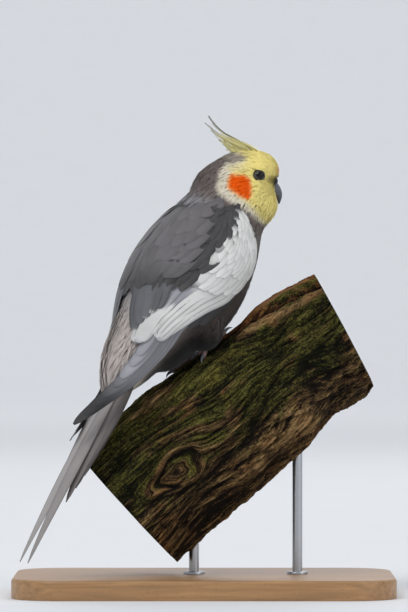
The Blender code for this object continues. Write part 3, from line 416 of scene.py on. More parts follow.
def coat_tint(points, loose=0.0):
    """The coat's colour at points of the bird, with the edges of its marks moved by loose."""
    bird = bpy.context.scene.bird
    along, angle, _ = spine_place(points)
    tint = mixed(bird.grey, bird.breast, ramp(angle, 30.0, 70.0))
    tint = mixed(tint, bird.belly, ramp(angle, 88.0, 125.0) * ramp(-along, -30.0, 5.0))
    tint = mixed(tint, bird.rump, ramp(-along, 22.0, 46.0) * (1.0 - ramp(angle, 75.0, 110.0)))
    # painted shade: the vent near black under the tail's root
    tint = mixed(tint, bird.vent_and_shade, ramp(-along, 14.0, 34.0) * ramp(angle, 100.0, 130.0))
    tail = into(TAIL, points)
    under = ramp(-tail[:, 0], 8.0, 20.0) * ramp(-tail[:, 2], -2.0, 3.0)
    tint = mixed(tint, bird.cream, under * 0.75)
    tint = mixed(tint, bird.nape, ramp(along, 38.0, 48.0))
    head = into(HEAD, points)
    crown = np.linalg.norm((head - (-6.0, 0.0, 14.0)) / (9.0, 14.0, 5.0), axis=-1)
    tint = mixed(tint, bird.cream, 0.4 * (1.0 - ramp(crown, 0.3, 1.3)))
    flat = head[:, (0, 2)]
    mask = inside(flat, MASK) + loose
    # the yellow darker on the lower throat: painted shade under the head
    throat_painted_shade = 1.0 - 0.16 * ramp(-head[:, 2], 11.0, 24.0)
    rich = mask + head[:, 0] * 0.3 + 4.0 * ramp(head[:, 2], 11.0, 16.0) + 5.0 * ramp(head[:, 2], 2.0, 7.0)
    yellow = mixed(bird.cream, bird.yellow, ramp(rich, 1.0, 8.5))
    yellow = mixed(yellow, bird.cream, 0.45 * ramp(-head[:, 0], -4.0, 8.0) * ramp(head[:, 2], 2.0, 8.0))
    # painted shade: the yellow turns dark olive in the crease from the eye to the bill, and near black round the cere
    lore_shade_reach = np.linalg.norm((head - (14.6, 0.0, 0.2)) / (6.4, 12.0, 3.7), axis=-1)
    yellow = mixed(yellow, np.multiply(bird.yellow, (0.22, 0.16, 0.08)), 0.94 * (1.0 - ramp(lore_shade_reach, 0.55, 1.3)))
    cere = np.linalg.norm((head - (18.4, 0.0, -1.2)) / (5.2, 8.0, 4.2), axis=-1)
    yellow = mixed(yellow, linear("1b1815"), 1.0 - ramp(cere, 0.8, 1.2))
    brow = np.linalg.norm((head - (19.0, 0.0, 6.0)) / (4.5, 7.0, 4.0), axis=-1)
    yellow = mixed(yellow, bird.orange, 0.38 * (1.0 - ramp(brow, 0.3, 1.2)))
    tint = mixed(tint, yellow * throat_painted_shade[:, None], ramp(mask, -1.7, 1.7))
    cheek = inside(flat, CHEEK) + loose * 0.6
    glow = mixed(bird.orange, bird.yellow, 0.4 * (1.0 - ramp(cheek, 0.0, 2.4)))
    return mixed(tint, glow, ramp(cheek, -1.2, 0.9) * ramp(np.abs(head[:, 1]), 4.0, 7.0))


# The limb


def limb_axis(along):
    """The limb's middle line at shares of its length, and its direction there."""
    foot, bend, head = (np.array(p) for p in LIMB_LINE)
    s = np.asarray(along, float)[:, None]
    centre = foot * (1.0 - s) ** 2 + bend * 2.0 * s * (1.0 - s) + head * s * s
    return centre, unit((bend - foot) * (1.0 - s) + (head - bend) * s)


def limb_place(points):
    """The share of the limb's length level with each point, its angle from the upper side towards
    the viewer, its distance from the middle line, and the way straight out."""
    low = np.full(len(points), -0.3)
    high = np.full(len(points), 1.3)
    for _ in range(24):
        along = (low + high) / 2.0
        centre, ahead = limb_axis(along)
        beyond = ((points - centre) * ahead).sum(-1) > 0.0
        low = np.where(beyond, along, low)
        high = np.where(beyond, high, along)
    across = points - centre
    rise = np.cross(LIMB_SIDE, ahead)
    around = np.arctan2(across @ LIMB_SIDE, (across * rise).sum(-1))
    return along, around, np.linalg.norm(across, axis=-1), unit(across)


def limb_radius(along, around):
    """The limb's radius, with long ridges and a knot, as the solid has it."""
    ridges = 1.3 * np.sin(3.0 * around + 2.0 * along) + 0.8 * np.sin(7.0 * around - 3.0 * along)
    knot = 5.0 * np.exp(-((along - 0.55) ** 2) / 0.02 - (around - 2.2) ** 2 / 0.4)
    taper = 6.0 * (0.5 - along)
    return LIMB_RADIUS + ridges * (1.0 - np.exp(-(around**2) / 0.3)) + knot + taper


def off_bark(points, gap):
    """Moves points that lie in the limb straight out of it."""
    along, around, radius, outward = limb_place(points)
    short = np.maximum(limb_radius(along, around) + gap - radius, 0.0)
    return points + outward * short[:, None]


def on_bark(point, height):
    """The place straight out from the limb's middle line at a height over the bark."""
    along, around, radius, outward = limb_place(np.array([point]))
    return point + outward[0] * (height + limb_radius(along, around) - radius)[0]


def bark_top(x, y):
    """The highest place on the bark at x and y."""
    heights = np.linspace(90.0, 215.0, 1251)
    points = np.stack([np.full_like(heights, x), np.full_like(heights, y), heights], axis=-1)
    along, around, radius, _ = limb_place(points)
    return points[np.nonzero(radius < limb_radius(along, around))[0][-1]]


# Making meshes


def show(name, mesh, material, nodes):
    """Makes a mesh a piece of the bird or its mount, which rides on the row's one body."""
    made = bpy.data.objects.new(name, mesh)
    bpy.context.scene.collection.objects.link(made)
    mesh.materials.append(material)
    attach(made, "root")
    if nodes:
        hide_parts(*nodes)
    return made


def finished(name, bm, smooth=True, sharp=None):
    """A bmesh in millimetres as a mesh in metres, its doubles merged and its faces outwards."""
    bmesh.ops.remove_doubles(bm, verts=bm.verts, dist=1e-4)
    bmesh.ops.recalc_face_normals(bm, faces=bm.faces)
    bmesh.ops.scale(bm, vec=(MM, MM, MM), verts=bm.verts)
    mesh = bpy.data.meshes.new(name)
    bm.to_mesh(mesh)
    bm.free()
    if smooth:
        mesh.shade_smooth()
    if sharp:
        mesh.set_sharp_from_angle(angle=math.radians(sharp))
    return mesh


def sizes_along(outline, rows):
    """Shares of a vane's length, closer together towards its tip, and its widths there."""
    share = 1.0 - (1.0 - np.linspace(0.0, 1.0, rows)) ** 1.35
    return share, smooth_rows(outline, share)[:, 0]


def vanes(name, paths, normals, widths, tints, places, columns=3, cup=0.1, thick=0.3, soft=None, ridge=0.0,
          patch=0.003, shade=0.0):
    """Feathers as closed plates, joined as one mesh.

    Each row of paths is a feather's middle line from root to tip in millimetres, with the way out,
    its width and its colour there. A feather has a back of so many columns, cupped across and with
    a ridge for its shaft, and a face a little under it. Soft mixes the shading with the ways out
    given. Places hold the corner of each feather's patch on the bake's map, and patch its size.
    """
    count, rows = paths.shape[:2]
    ahead = unit(np.gradient(paths, axis=1))
    across = unit(np.cross(normals, ahead))
    out = np.cross(ahead, across)
    spread = np.linspace(-1.0, 1.0, columns)
    wide = widths[:, :, None]
    rise = -cup * wide * spread**2 + ridge * np.exp(-(spread / 0.08) ** 2)
    back = (
        paths[:, :, None]
        + across[:, :, None] * (wide / 2.0 * spread)[..., None]
        + out[:, :, None] * rise[..., None]
    )
    under = [columns - 2 - k for k in range(columns - 2)] if columns > 3 else []
    face = back[:, :, under] - out[:, :, None] * thick
    ring = np.concatenate([back, face], axis=2)
    sides = ring.shape[2]
    points = ring.reshape(-1, 3)

    index = np.arange(count * rows * sides).reshape(count, rows, sides)
    after = np.roll(index, -1, axis=2)
    quads = np.stack([index[:, :-1], index[:, 1:], after[:, 1:], after[:, :-1]], axis=-1).reshape(-1, 4)
    start_caps = index[:, 0]
    end_caps = index[:, -1, ::-1]
    loops = np.concatenate([quads.ravel(), start_caps.ravel(), end_caps.ravel()])
    starts = np.concatenate(
        [np.arange(len(quads)) * 4, quads.size + np.arange(2 * count) * sides]
    )

    mesh = bpy.data.meshes.new(name)
    mesh.vertices.add(len(points))
    mesh.vertices.foreach_set("co", (points * MM).astype(np.float32).ravel())
    mesh.loops.add(len(loops))
    mesh.loops.foreach_set("vertex_index", loops.astype(np.int32))
    mesh.polygons.add(len(starts))
    mesh.polygons.foreach_set("loop_start", starts.astype(np.int32))
    mesh.update(calc_edges=True)
    mesh.validate()

    side = np.concatenate([spread, spread[under]])
    # shade darkens each feather towards its edges: painted shade in the lines between overlapping feathers
    edge = 1.0 + shade * side**4
    tint = np.concatenate(
        [tints[:, :, None] * edge[None, None, :, None], np.ones((count, rows, sides, 1))], axis=-1
    )
    mesh.attributes.new("tint", "FLOAT_COLOR", "POINT").data.foreach_set("color", tint.astype(np.float32).ravel())

    run = np.concatenate([np.zeros((count, 1)), np.linalg.norm(np.diff(paths, axis=1), axis=-1)], axis=1)
    run = run.cumsum(axis=1)[:, :, None] + (np.arange(count) * 7.3 % 50.0)[:, None, None]
    vane_uv = np.stack(np.broadcast_arrays(wide / 2.0 * side, run), axis=-1).reshape(-1, 2)
    share = np.linspace(0.0, 1.0, rows)[None, :, None]
    turn = np.linspace(0.0, 1.0, sides)[None, None, :]
    size = np.broadcast_to(np.asarray(patch, float), (count, 2))
    bake_uv = np.stack(
        np.broadcast_arrays(
            places[:, None, None, 0] + turn * size[:, None, None, 0],
            places[:, None, None, 1] + share * size[:, None, None, 1],
        ),
        axis=-1,
    ).reshape(-1, 2)
    for map_name, values in (("Vane", vane_uv), ("OFBake", bake_uv)):
        mesh.uv_layers.new(name=map_name).data.foreach_set("uv", values[loops].astype(np.float32).ravel())

    lean = unit(out[:, :, None] + across[:, :, None] * (4.0 * cup * side)[None, None, :, None])
    if soft is not None:
        lean = unit(lean * (1.0 - soft[0]) + soft[1][:, :, None] * soft[0])
    lean = lean.reshape(-1, 3)
    is_back = np.zeros((count, rows - 1, sides, 4), bool)
    is_back[:, :, : columns - 1] = True
    sign = np.where(is_back.ravel(), 1.0, -1.0)
    corner = lean[quads.ravel()] * sign[:, None]
    caps = np.concatenate(
        [-ahead[:, 0].repeat(sides, axis=0), ahead[:, -1].repeat(sides, axis=0)]
    )
    mesh.shade_smooth()
    mesh.normals_split_custom_set(np.concatenate([corner, caps]).tolist())
    return mesh


# Materials


def add(tree, kind, inputs=None, **settings):
    """Adds a shader node. An input is a value, or another node's socket to link."""
    made = tree.nodes.new("ShaderNode" + kind)
    for name, value in settings.items():
        setattr(made, name, value)
    for key, value in (inputs or {}).items():
        if isinstance(value, bpy.types.NodeSocket):
            tree.links.new(value, made.inputs[key])
        else:
            made.inputs[key].default_value = value
    return made


def finish(name, roughness, **sockets):
    """A new material, its tree and its shader with the values that are the same all over."""
    material = bpy.data.materials.new(name)
    material.use_nodes = True
    tree = material.node_tree
    shader = tree.nodes["Principled BSDF"]
    shader.inputs["Roughness"].default_value = roughness
    for key, value in sockets.items():
        shader.inputs[key.replace("_", " ")].default_value = value
    return material, tree, shader


def millimetres(tree):
    """Object coordinates in millimetres."""
    place = add(tree, "TexCoord")
    return add(tree, "VectorMath", {0: place.outputs["Object"], "Scale": 1000.0}, operation="SCALE").outputs[0]


def vane_keratin(name, spacing, depth, roughness):
    """Feather vane: keratin barbs that slant from the shaft, soft and faintly silky.

    Real barbs are 0.3 mm apart. They are drawn wider so that they show.
    """
    material, tree, shader = finish(name, roughness, Sheen_Weight=0.15, Sheen_Roughness=0.5, Specular_IOR_Level=0.3)
    tint = add(tree, "Attribute", attribute_name="tint")
    uv = add(tree, "UVMap", uv_map="Vane")
    parts = add(tree, "SeparateXYZ", {0: uv.outputs[0]})
    side = add(tree, "Math", {0: parts.outputs[0]}, operation="ABSOLUTE")
    slant = add(tree, "Math", {0: side.outputs[0], 1: -0.9, 2: parts.outputs[1]}, operation="MULTIPLY_ADD")
    phase = add(tree, "Math", {0: slant.outputs[0], 1: 2.0 * math.pi / spacing}, operation="MULTIPLY")
    barbs = add(tree, "Math", {0: phase.outputs[0]}, operation="SINE")
    along = add(tree, "CombineXYZ", {0: parts.outputs[0], 1: slant.outputs[0]})
    stretched = add(tree, "VectorMath", {0: along.outputs[0], 1: (0.5, 1.6, 1.0)}, operation="MULTIPLY")
    clumps = add(tree, "TexNoise", {"Vector": stretched.outputs[0], "Scale": 1.0, "Detail": 3.0})
    broad = add(tree, "TexNoise", {"Vector": millimetres(tree), "Scale": 0.09, "Detail": 3.0})
    height = add(tree, "Math", {0: barbs.outputs[0], 1: 0.5, 2: clumps.outputs[0]}, operation="MULTIPLY_ADD")
    tone = add(tree, "Math", {0: height.outputs[0], 1: 0.16, 2: 0.86}, operation="MULTIPLY_ADD")
    patchy = add(tree, "Math", {0: broad.outputs[0], 1: 0.3, 2: 0.85}, operation="MULTIPLY_ADD")
    both = add(tree, "Math", {0: tone.outputs[0], 1: patchy.outputs[0]}, operation="MULTIPLY")
    colour = add(tree, "VectorMath", {0: tint.outputs["Color"], "Scale": both.outputs[0]}, operation="SCALE")
    bump = add(tree, "Bump", {"Height": height.outputs[0], "Strength": 0.5, "Distance": depth * MM})
    tree.links.new(colour.outputs[0], shader.inputs["Base Color"])
    tree.links.new(bump.outputs[0], shader.inputs["Normal"])
    return material


def contour_down(name, roughness, sheen):
    """Small body feathers: loose barbs run along each tuft and make a matt, hairy streak."""
    material, tree, shader = finish(name, roughness, Sheen_Weight=sheen, Sheen_Roughness=0.6, Specular_IOR_Level=sheen)
    tint = add(tree, "Attribute", attribute_name="tint")
    uv = add(tree, "UVMap", uv_map="Vane")
    stretched = add(tree, "VectorMath", {0: uv.outputs[0], 1: (3.2, 0.35, 1.0)}, operation="MULTIPLY")
    hairs = add(tree, "TexNoise", {"Vector": stretched.outputs[0], "Scale": 1.0, "Detail": 2.0})
    broad = add(tree, "TexNoise", {"Vector": millimetres(tree), "Scale": 0.11, "Detail": 3.0})
    tone = add(tree, "Math", {0: hairs.outputs[0], 1: 0.42, 2: 0.79}, operation="MULTIPLY_ADD")
    patchy = add(tree, "Math", {0: broad.outputs[0], 1: 0.36, 2: 0.82}, operation="MULTIPLY_ADD")
    both = add(tree, "Math", {0: tone.outputs[0], 1: patchy.outputs[0]}, operation="MULTIPLY")
    colour = add(tree, "VectorMath", {0: tint.outputs["Color"], "Scale": both.outputs[0]}, operation="SCALE")
    bump = add(tree, "Bump", {"Height": hairs.outputs[0], "Strength": 0.35, "Distance": 0.12 * MM})
    tree.links.new(colour.outputs[0], shader.inputs["Base Color"])
    tree.links.new(bump.outputs[0], shader.inputs["Normal"])
    return material


def shared(maker, name, *values):
    """The named material, made the first time it is asked for."""
    return bpy.data.materials.get(name) or maker(name, *values)


# The skin and its coat

BODY_DOWN = ("contour_feathers", 0.85, 0.14)


def skin_mesh():
    """The bird's skin: the masses fused, then sunk under the coat's surface by its depth."""
    bm = bmesh.new()
    for place, centre, radii in MASSES + THIGHS:
        size = Matrix.Diagonal((*radii, 1.0))
        bmesh.ops.create_icosphere(
            bm, subdivisions=4, radius=1.0, matrix=Matrix(place) @ Matrix.Translation(centre) @ size
        )
    rough = bpy.data.meshes.new("fused")
    bm.to_mesh(rough)
    bm.free()
    block = bpy.data.objects.new("fused", rough)
    bpy.context.scene.collection.objects.link(block)
    step = block.modifiers.new("fuse", "REMESH")
    step.mode = "VOXEL"
    step.voxel_size = 1.2
    graph = bpy.context.evaluated_depsgraph_get()
    mesh = bpy.data.meshes.new_from_object(block.evaluated_get(graph))
    bpy.data.objects.remove(block)
    points = np.zeros(len(mesh.vertices) * 3)
    mesh.vertices.foreach_get("co", points)
    points = points.reshape(-1, 3)
    points = settle(points, -coat_depth(points), 5)
    mesh.vertices.foreach_set("co", (points * MM).astype(np.float32).ravel())
    mesh.update()
    mesh.shade_smooth()
    return mesh, points


def skin_places(mesh, points, spacing, seed):
    """Roots spread over the skin no nearer to each other than their spacing."""
    rng = np.random.default_rng(seed)
    mesh.calc_loop_triangles()
    corners = np.zeros(len(mesh.loop_triangles) * 3, int)
    mesh.loop_triangles.foreach_get("vertices", corners)
    corners = corners.reshape(-1, 3)
    a, b, c = (points[corners[:, k]] for k in range(3))
    middle = (a + b + c) / 3.0
    area = np.linalg.norm(np.cross(b - a, c - a), axis=-1) / 2.0
    weight = area / spacing(middle) ** 2
    total = int(weight.sum() * 2.6)
    picked = rng.choice(len(corners), total, p=weight / weight.sum())
    u, v = rng.random((2, total))
    flip = u + v > 1.0
    u, v = np.where(flip, 1.0 - u, u)[:, None], np.where(flip, 1.0 - v, v)[:, None]
    found = a[picked] * (1.0 - u - v) + b[picked] * u + c[picked] * v
    radii = spacing(found)
    tree = kdtree.KDTree(total)
    for i, point in enumerate(found):
        tree.insert(point, i)
    tree.balance()
    free = np.ones(total, bool)
    kept = []
    for i in range(total):
        if free[i]:
            kept.append(i)
            for _, near, _ in tree.find_range(found[i], radii[i]):
                free[near] = False
    return found[kept]


def wing_covers(points):
    """Whether each point lies well under a folded wing."""
    along, angle, _ = spine_place(points)
    edges = smooth_rows(np.array(WING_STATIONS)[::-1], along)
    clear = (angle > edges[:, 0] + 14.0) & (angle < edges[:, 2] - 12.0)
    return clear & (along < 40.0) & (along > -44.0)


def eye_distance(points):
    """How far each point lies from the nearer eye's axis, and how far forward along it."""
    local = into(HEAD, points)
    local[:, 1] = np.abs(local[:, 1])
    axis = unit(np.array(EYE_AXIS))
    away = local - np.array(EYE_AT)
    forward = away @ axis
    return np.linalg.norm(away - forward[:, None] * axis, axis=-1), forward


def bare_face(points):
    """Whether a root would stand in the eye's lids, the cere or the bill."""
    eye, forward = eye_distance(points)
    local = into(HEAD, points)
    cere = np.linalg.norm((local - CERE_AT) / (np.array(CERE_SIZE) + 0.2), axis=-1)
    bill = np.linalg.norm((local - (17.5, 0.0, -7.0)) / (4.8, 4.4, 5.4), axis=-1)
    return ((eye < LID_OUTER - 0.5) & (forward > -3.0)) | (cere < 1.0) | (bill < 1.0)


def coat_on(roots, seed, length, width, rows, spread_deg):
    """Middle lines, ways out and widths of tufts that grow from roots along the coat's lie."""
    rng = np.random.default_rng(seed)
    count = len(roots)
    share, wide = sizes_along(BLADE, rows)
    length = length * rng.uniform(0.82, 1.15, count)
    width = width * rng.uniform(0.85, 1.15, count)
    turn = np.radians(rng.normal(0.0, spread_deg, count))
    along, angle, _ = spine_place(roots)
    mantle = np.exp(-(((along - 48.0) / 6.0) ** 2)) * (1.0 - ramp(angle, 110.0, 140.0))
    flank = np.exp(-(((angle - 30.0) / 15.0) ** 2)) * ramp(-along, 16.0, 34.0) * (1.0 - ramp(-along, 82.0, 96.0))
    hackle = np.exp(-((np.linalg.norm(into(HEAD, roots) - (-24.0, 0.0, 5.0), axis=-1) / 10.0) ** 2))
    tip_level = rng.normal(0.0, 0.075, count) * coat_depth(roots) + 3.4 * mantle + 2.8 * flank + 2.2 * hackle
    length = length * (1.0 + 0.7 * mantle + 0.3 * flank + 0.3 * hackle)
    point = roots
    paths, ways = [], []
    for i in range(rows):
        way_out = flesh_slope(point, MASSES + THIGHS)
        paths.append(point)
        ways.append(way_out)
        if i == rows - 1:
            break
        ahead = lie(point)
        ahead = unit(ahead - way_out * (ahead * way_out).sum(-1, keepdims=True))
        side = np.cross(way_out, ahead)
        ahead = ahead * np.cos(turn)[:, None] + side * np.sin(turn)[:, None]
        point = point + ahead * (length * (share[i + 1] - share[i]))[:, None]
        lift = np.sin(0.5 * math.pi * min(1.0, share[i + 1] * 1.25))
        level = -coat_depth(point) * (1.0 - lift) + tip_level * lift
        point = settle(point, level, 2)
    return np.stack(paths, axis=1), np.stack(ways, axis=1), width[:, None] * wide


def coat_patches(points, head):
    """Each root's place on an unwrap of the skin: round the spine, or round the face's front."""
    if head:
        front = turned(HEAD[:3, 3], 0.0, 30.0)
        local = unit(into(front, points))
        polar = np.arccos(np.clip(local[:, 0], -1.0, 1.0)) / math.pi
        azimuth = np.arctan2(local[:, 1], local[:, 2])
        return 0.5 + 0.49 * polar[:, None] * np.stack([np.cos(azimuth), np.sin(azimuth)], axis=-1)
    local = into(TORSO, points)
    around = np.arctan2(local[:, 1], local[:, 2]) / (2.0 * math.pi) + 0.5
    return np.stack([around * 0.99, np.clip((local[:, 0] + 110.0) / 210.0, 0.0, 0.99)], axis=-1)


def coat_piece(name, roots, seed, length, width, rows=5, spread_deg=9.0, head=False, soft=0.7):
    """One piece of the coat, planted on its roots."""
    rng = np.random.default_rng(seed + 1)
    paths, ways, widths = coat_on(roots, seed, length, width, rows, spread_deg)
    eye, _ = eye_distance(paths[:, -1])
    clear = (eye > LID_OUTER - 0.6) | (np.abs(into(HEAD, paths[:, -1])[:, 1]) < 5.0)
    paths, ways, widths, roots = paths[clear], ways[clear], widths[clear], roots[clear]
    count = len(paths)
    loose = rng.normal(0.0, 0.45, count).repeat(rows)
    tints = coat_tint(paths.reshape(-1, 3), loose).reshape(count, rows, 3)
    tints = tints * rng.normal(1.0, 0.05 if head else 0.07, (count, 1, 1))
    # each tuft darker at its root and lighter at its tip: painted shade under the tufts that cover it, and a faint
    # painted highlight at its tip
    tints = tints * np.linspace(0.9, 1.05, rows)[None, :, None]
    mesh = vanes(
        name, paths, ways, widths, tints, coat_patches(roots, head), cup=0.13, soft=(soft, ways)
    )
    material = shared(contour_down, "face_feathers", 0.9, 0.06) if head else shared(contour_down, *BODY_DOWN)
    return show(name, mesh, material, ())


# Wings and tail


def wing_place(along, across, side):
    """Points of the sheet that a folded wing's feathers lie on, held off the flesh by a gap."""
    values = smooth_rows(np.array(WING_STATIONS)[::-1], along)
    angle = np.radians(values[:, 0] + (values[:, 2] - values[:, 0]) * across)
    radius = values[:, 1] + (values[:, 3] - values[:, 1]) * across
    local = np.stack([along, side * radius * np.sin(angle), radius * np.cos(angle)], axis=-1)
    if side > 0:
        local = local + ramp(-along, 20.0, 75.0)[:, None] * np.array(FAR_TIP_SHIFT)
    points = out_of(TORSO, local)
    for _ in range(4):
        depth = np.maximum(WING_GAP - flesh_distance(points), 0.0)
        points = points + flesh_slope(points) * depth[:, None]
    return points


def wing_sheet(along, across, side):
    """The wing's sheet, the way out from it, and the way towards its upper edge."""
    forward = wing_place(along + 0.6, across, side) - wing_place(along - 0.6, across, side)
    upward = wing_place(along, across - 0.02, side) - wing_place(along, across + 0.02, side)
    return wing_place(along, across, side), unit(np.cross(upward, forward)) * side, unit(upward)


def wing_dome(across):
    """How high the folded wing is at a share across it, as a share of its middle."""
    return 0.35 + 0.65 * np.sqrt(np.clip(1.0 - np.abs(2.0 * across - 1.0) ** 3, 0.0, 1.0))


def tier_places(name, tier, rows, seed):
    """Roots, tips and heights of a tier's feathers, a little uneven, as places along each one."""
    count, first_root, last_root, first_tip, last_tip, width, lifts, _, outline = tier
    rng = np.random.default_rng(seed)
    order = np.linspace(0.0, 1.0, count)[:, None]
    roots = np.array(first_root) * (1.0 - order) + np.array(last_root) * order
    tips = np.array(first_tip) * (1.0 - order) + np.array(last_tip) * order
    slack = (1.2, 0.006) if name in FLIGHT_TIERS else (1.9, 0.014)
    tips = tips + rng.normal(0.0, 1.0, (count, 2)) * slack
    roots = roots + rng.normal(0.0, 1.0, (count, 2)) * slack
    share, wide = sizes_along(outline, rows)
    along = roots[:, :1] + (tips[:, :1] - roots[:, :1]) * share
    across = roots[:, 1:] + (tips[:, 1:] - roots[:, 1:]) * share
    if name == "inner":
        across = across + 0.07 * np.sin(math.pi * share)
    tip_lift = lifts[1] + (lifts[2] - lifts[1]) * order
    lift = lifts[0] + (tip_lift - lifts[0]) * ramp(share, 0.15, 0.75)
    wide = width * wide * rng.uniform(0.94, 1.06, (count, 1))
    return along, across, lift, wide


def wing_tint(name, along, across, rng):
    """The colours of a tier's feathers at places along each one."""
    bird = bpy.context.scene.bird
    count, rows = along.shape
    grey = bird.scapular if name.startswith("scapular") else bird.slate
    grey = bird.primary if name in FLIGHT_TIERS else grey
    tint = np.broadcast_to(np.array(grey), (count, rows, 3)) * rng.normal(1.0, 0.045, (count, 1, 1))
    if name == "primaries":
        tint = mixed(tint, np.multiply(bird.slate, 0.6), ramp(-along, 66.0, 100.0))
        tint = mixed(tint, np.multiply(bird.slate, 0.8), 0.8 * ramp(across, 0.86, 0.93))
        tint = tint * (0.86 + 0.1 * np.cos(np.arange(count) * 2.4))[:, None, None]
    elif name == "tertials":
        tint = tint * 0.32
    elif name.startswith("scapular"):
        tint = mixed(tint, np.multiply(bird.slate, 0.8), 0.9 * ramp(-along, 2.0, 28.0))
    elif name not in FLIGHT_TIERS:
        # a painted shadow of the scapulars' edge, in a thin dark band on the coverts
        edge = smooth_rows(np.array(SCAPULAR_EDGE)[::-1], along.ravel()).reshape(along.shape)
        tint = tint * (1.0 - 0.62 * np.exp(-(((across - edge - 0.03) / 0.035) ** 2)))[..., None]
        brown = np.exp(-((along + 24.0) ** 2) / 60.0 - ((across - 0.5) * WING_BREADTH) ** 2 / 60.0)
        tint = mixed(tint, bird.breast, np.clip(brown, 0.0, 1.0) * 0.6)
    if name.startswith("scapular") or name == "primaries":
        return tint
    flat = np.stack([along, across * WING_BREADTH], axis=-1).reshape(-1, 2)
    outline = np.array(WHITE_PATCH) * (1.0, WING_BREADTH)
    white = inside(flat, outline).reshape(count, rows) + rng.normal(0.0, 1.6, (count, 1))
    if name == "secondaries":
        # the three lowest secondaries darker than the slate: partly their own dark grey, partly painted shade below the
        # white band
        lowest = np.arange(count)[:, None] < 3
        white = np.where(lowest, -5.0, white)
        tint = np.where(lowest[..., None], np.multiply(bird.slate, 0.7), tint)
    elif name == "inner":
        white = np.maximum(white, inside(flat - (0.0, 7.0), outline).reshape(count, rows))
    # the white greyer towards the wing's rear: painted shade
    pale = np.multiply(bird.white, (1.0 - 0.24 * ramp(-along, 28.0, 50.0))[..., None])
    return mixed(tint, pale, ramp(white, -1.0, 1.0))


def wing_tiers(tiers, side, rows, seed):
    """Every feather of several tiers, as the pieces that the vanes function takes."""
    parts = []
    for k, (name, tier) in enumerate(tiers.items()):
        rng = np.random.default_rng(seed + 50 + k)
        along, across, lift, wide = tier_places(name, tier, rows, seed + k)
        shape = along.shape
        points, outward, upward = wing_sheet(along.ravel(), across.ravel(), side)
        lift = lift.ravel() * wing_dome(np.clip(across.ravel(), 0.0, 1.0))
        centres = (points + outward * lift[:, None]).reshape(*shape, 3)
        normals = unit(outward + upward * tier[7]).reshape(*shape, 3)
        tint = wing_tint(name, along, across, rng)
        # each feather darker towards its root: painted shade under the row that overlaps it
        tint = tint * (0.86 + 0.14 * ramp(np.linspace(0.0, 1.0, rows), 0.3, 0.9))[None, :, None]
        soft = outward.reshape(*shape, 3)
        parts.append((centres, normals, wide, tint, soft))
    centres, normals, wide, tint, soft = (np.concatenate(p) for p in zip(*parts))
    return centres, normals, wide, tint, soft


def atlas(count, columns):
    """Places and sizes of like patches in a grid on the bake's map."""
    rows = math.ceil(count / columns)
    k = np.arange(count)
    places = np.stack([(k % columns) / columns, (k // columns) / rows], axis=-1)
    return places, np.array([0.94 / columns, 0.94 / rows])


def wing_arm(side):
    """The flesh of the folded wing under its coverts, as a closed domed shell."""
    bm = bmesh.new()
    rows, columns = 26, 22
    bmesh.ops.create_grid(bm, x_segments=columns - 1, y_segments=rows - 1, size=0.5)
    flat = np.array([v.co for v in bm.verts])
    across = 0.04 + 0.89 * (flat[:, 0] + 0.5)
    share = 0.5 - flat[:, 1]
    rear = WING_REAR[0] + (WING_REAR[1] - WING_REAR[0]) * across**2
    along = WING_FRONT + (rear - WING_FRONT) * share
    points, outward, _ = wing_sheet(along, across, side)
    height = 2.4 * np.minimum(1.0, 0.2 + share * 4.0) * np.minimum(1.0, 0.3 + (1.0 - share) * 4.0)
    points = points + outward * (height * wing_dome(across))[:, None]
    for vertex, point in zip(bm.verts, points):
        vertex.co = point
    bmesh.ops.recalc_face_normals(bm, faces=bm.faces)
    way = sum((np.array(f.normal) for f in bm.faces), np.zeros(3))
    if way @ outward.mean(axis=0) < 0.0:
        bmesh.ops.reverse_faces(bm, faces=bm.faces)
    bmesh.ops.solidify(bm, geom=bm.faces[:], thickness=0.8)
    return bm


def tint_mesh(mesh, colours):
    """Stores linear colours on a mesh's points for its material."""
    rgba = np.concatenate([colours, np.ones((len(colours), 1))], axis=1)
    mesh.attributes.new("tint", "FLOAT_COLOR", "POINT").data.foreach_set("color", rgba.astype(np.float32).ravel())


def mesh_points(mesh):
    """A mesh's points in millimetres."""
    points = np.zeros(len(mesh.vertices) * 3)
    mesh.vertices.foreach_get("co", points)
    return points.reshape(-1, 3) / MM


# Eyes, bill, feet


def head_axes(side):
    """An eye's centre and its axis, in the row's frame."""
    centre = out_of(HEAD, [(EYE_AT[0], side * EYE_AT[1], EYE_AT[2])])[0]
    axis = unit(np.array((EYE_AXIS[0], side * EYE_AXIS[1], EYE_AXIS[2])) @ HEAD[:3, :3].T)
    return centre, axis


def facing(centre, axis):
    """A matrix that puts +Z along an axis at a centre."""
    turn = Vector(axis).to_track_quat("Z", "Y").to_matrix().to_4x4()
    return Matrix.Translation(Vector(centre)) @ turn


def rings_loft(bm, centres, ups, sizes, sides):
    """Rings along a line, each a circle drawn out to a half width and a half height, bridged."""
    centres = np.asarray(centres, float)
    ahead = unit(np.gradient(centres, axis=0))
    loops = []
    for centre, way, up, (wide, high) in zip(centres, ahead, ups, sizes):
        across = unit(np.cross(up, way))
        rise = np.cross(way, across)
        place = Matrix(np.column_stack([across * wide, rise * high, way, centre]).tolist() + [[0, 0, 0, 1]])
        made = bmesh.ops.create_circle(bm, cap_ends=False, segments=sides, radius=1.0, matrix=place)
        loops.append(list({e for v in made["verts"] for e in v.link_edges}))
    for first, second in zip(loops, loops[1:]):
        bmesh.ops.bridge_loops(bm, edges=first + second)
    for loop in (loops[0], loops[-1]):
        bmesh.ops.edgeloop_fill(bm, edges=loop)


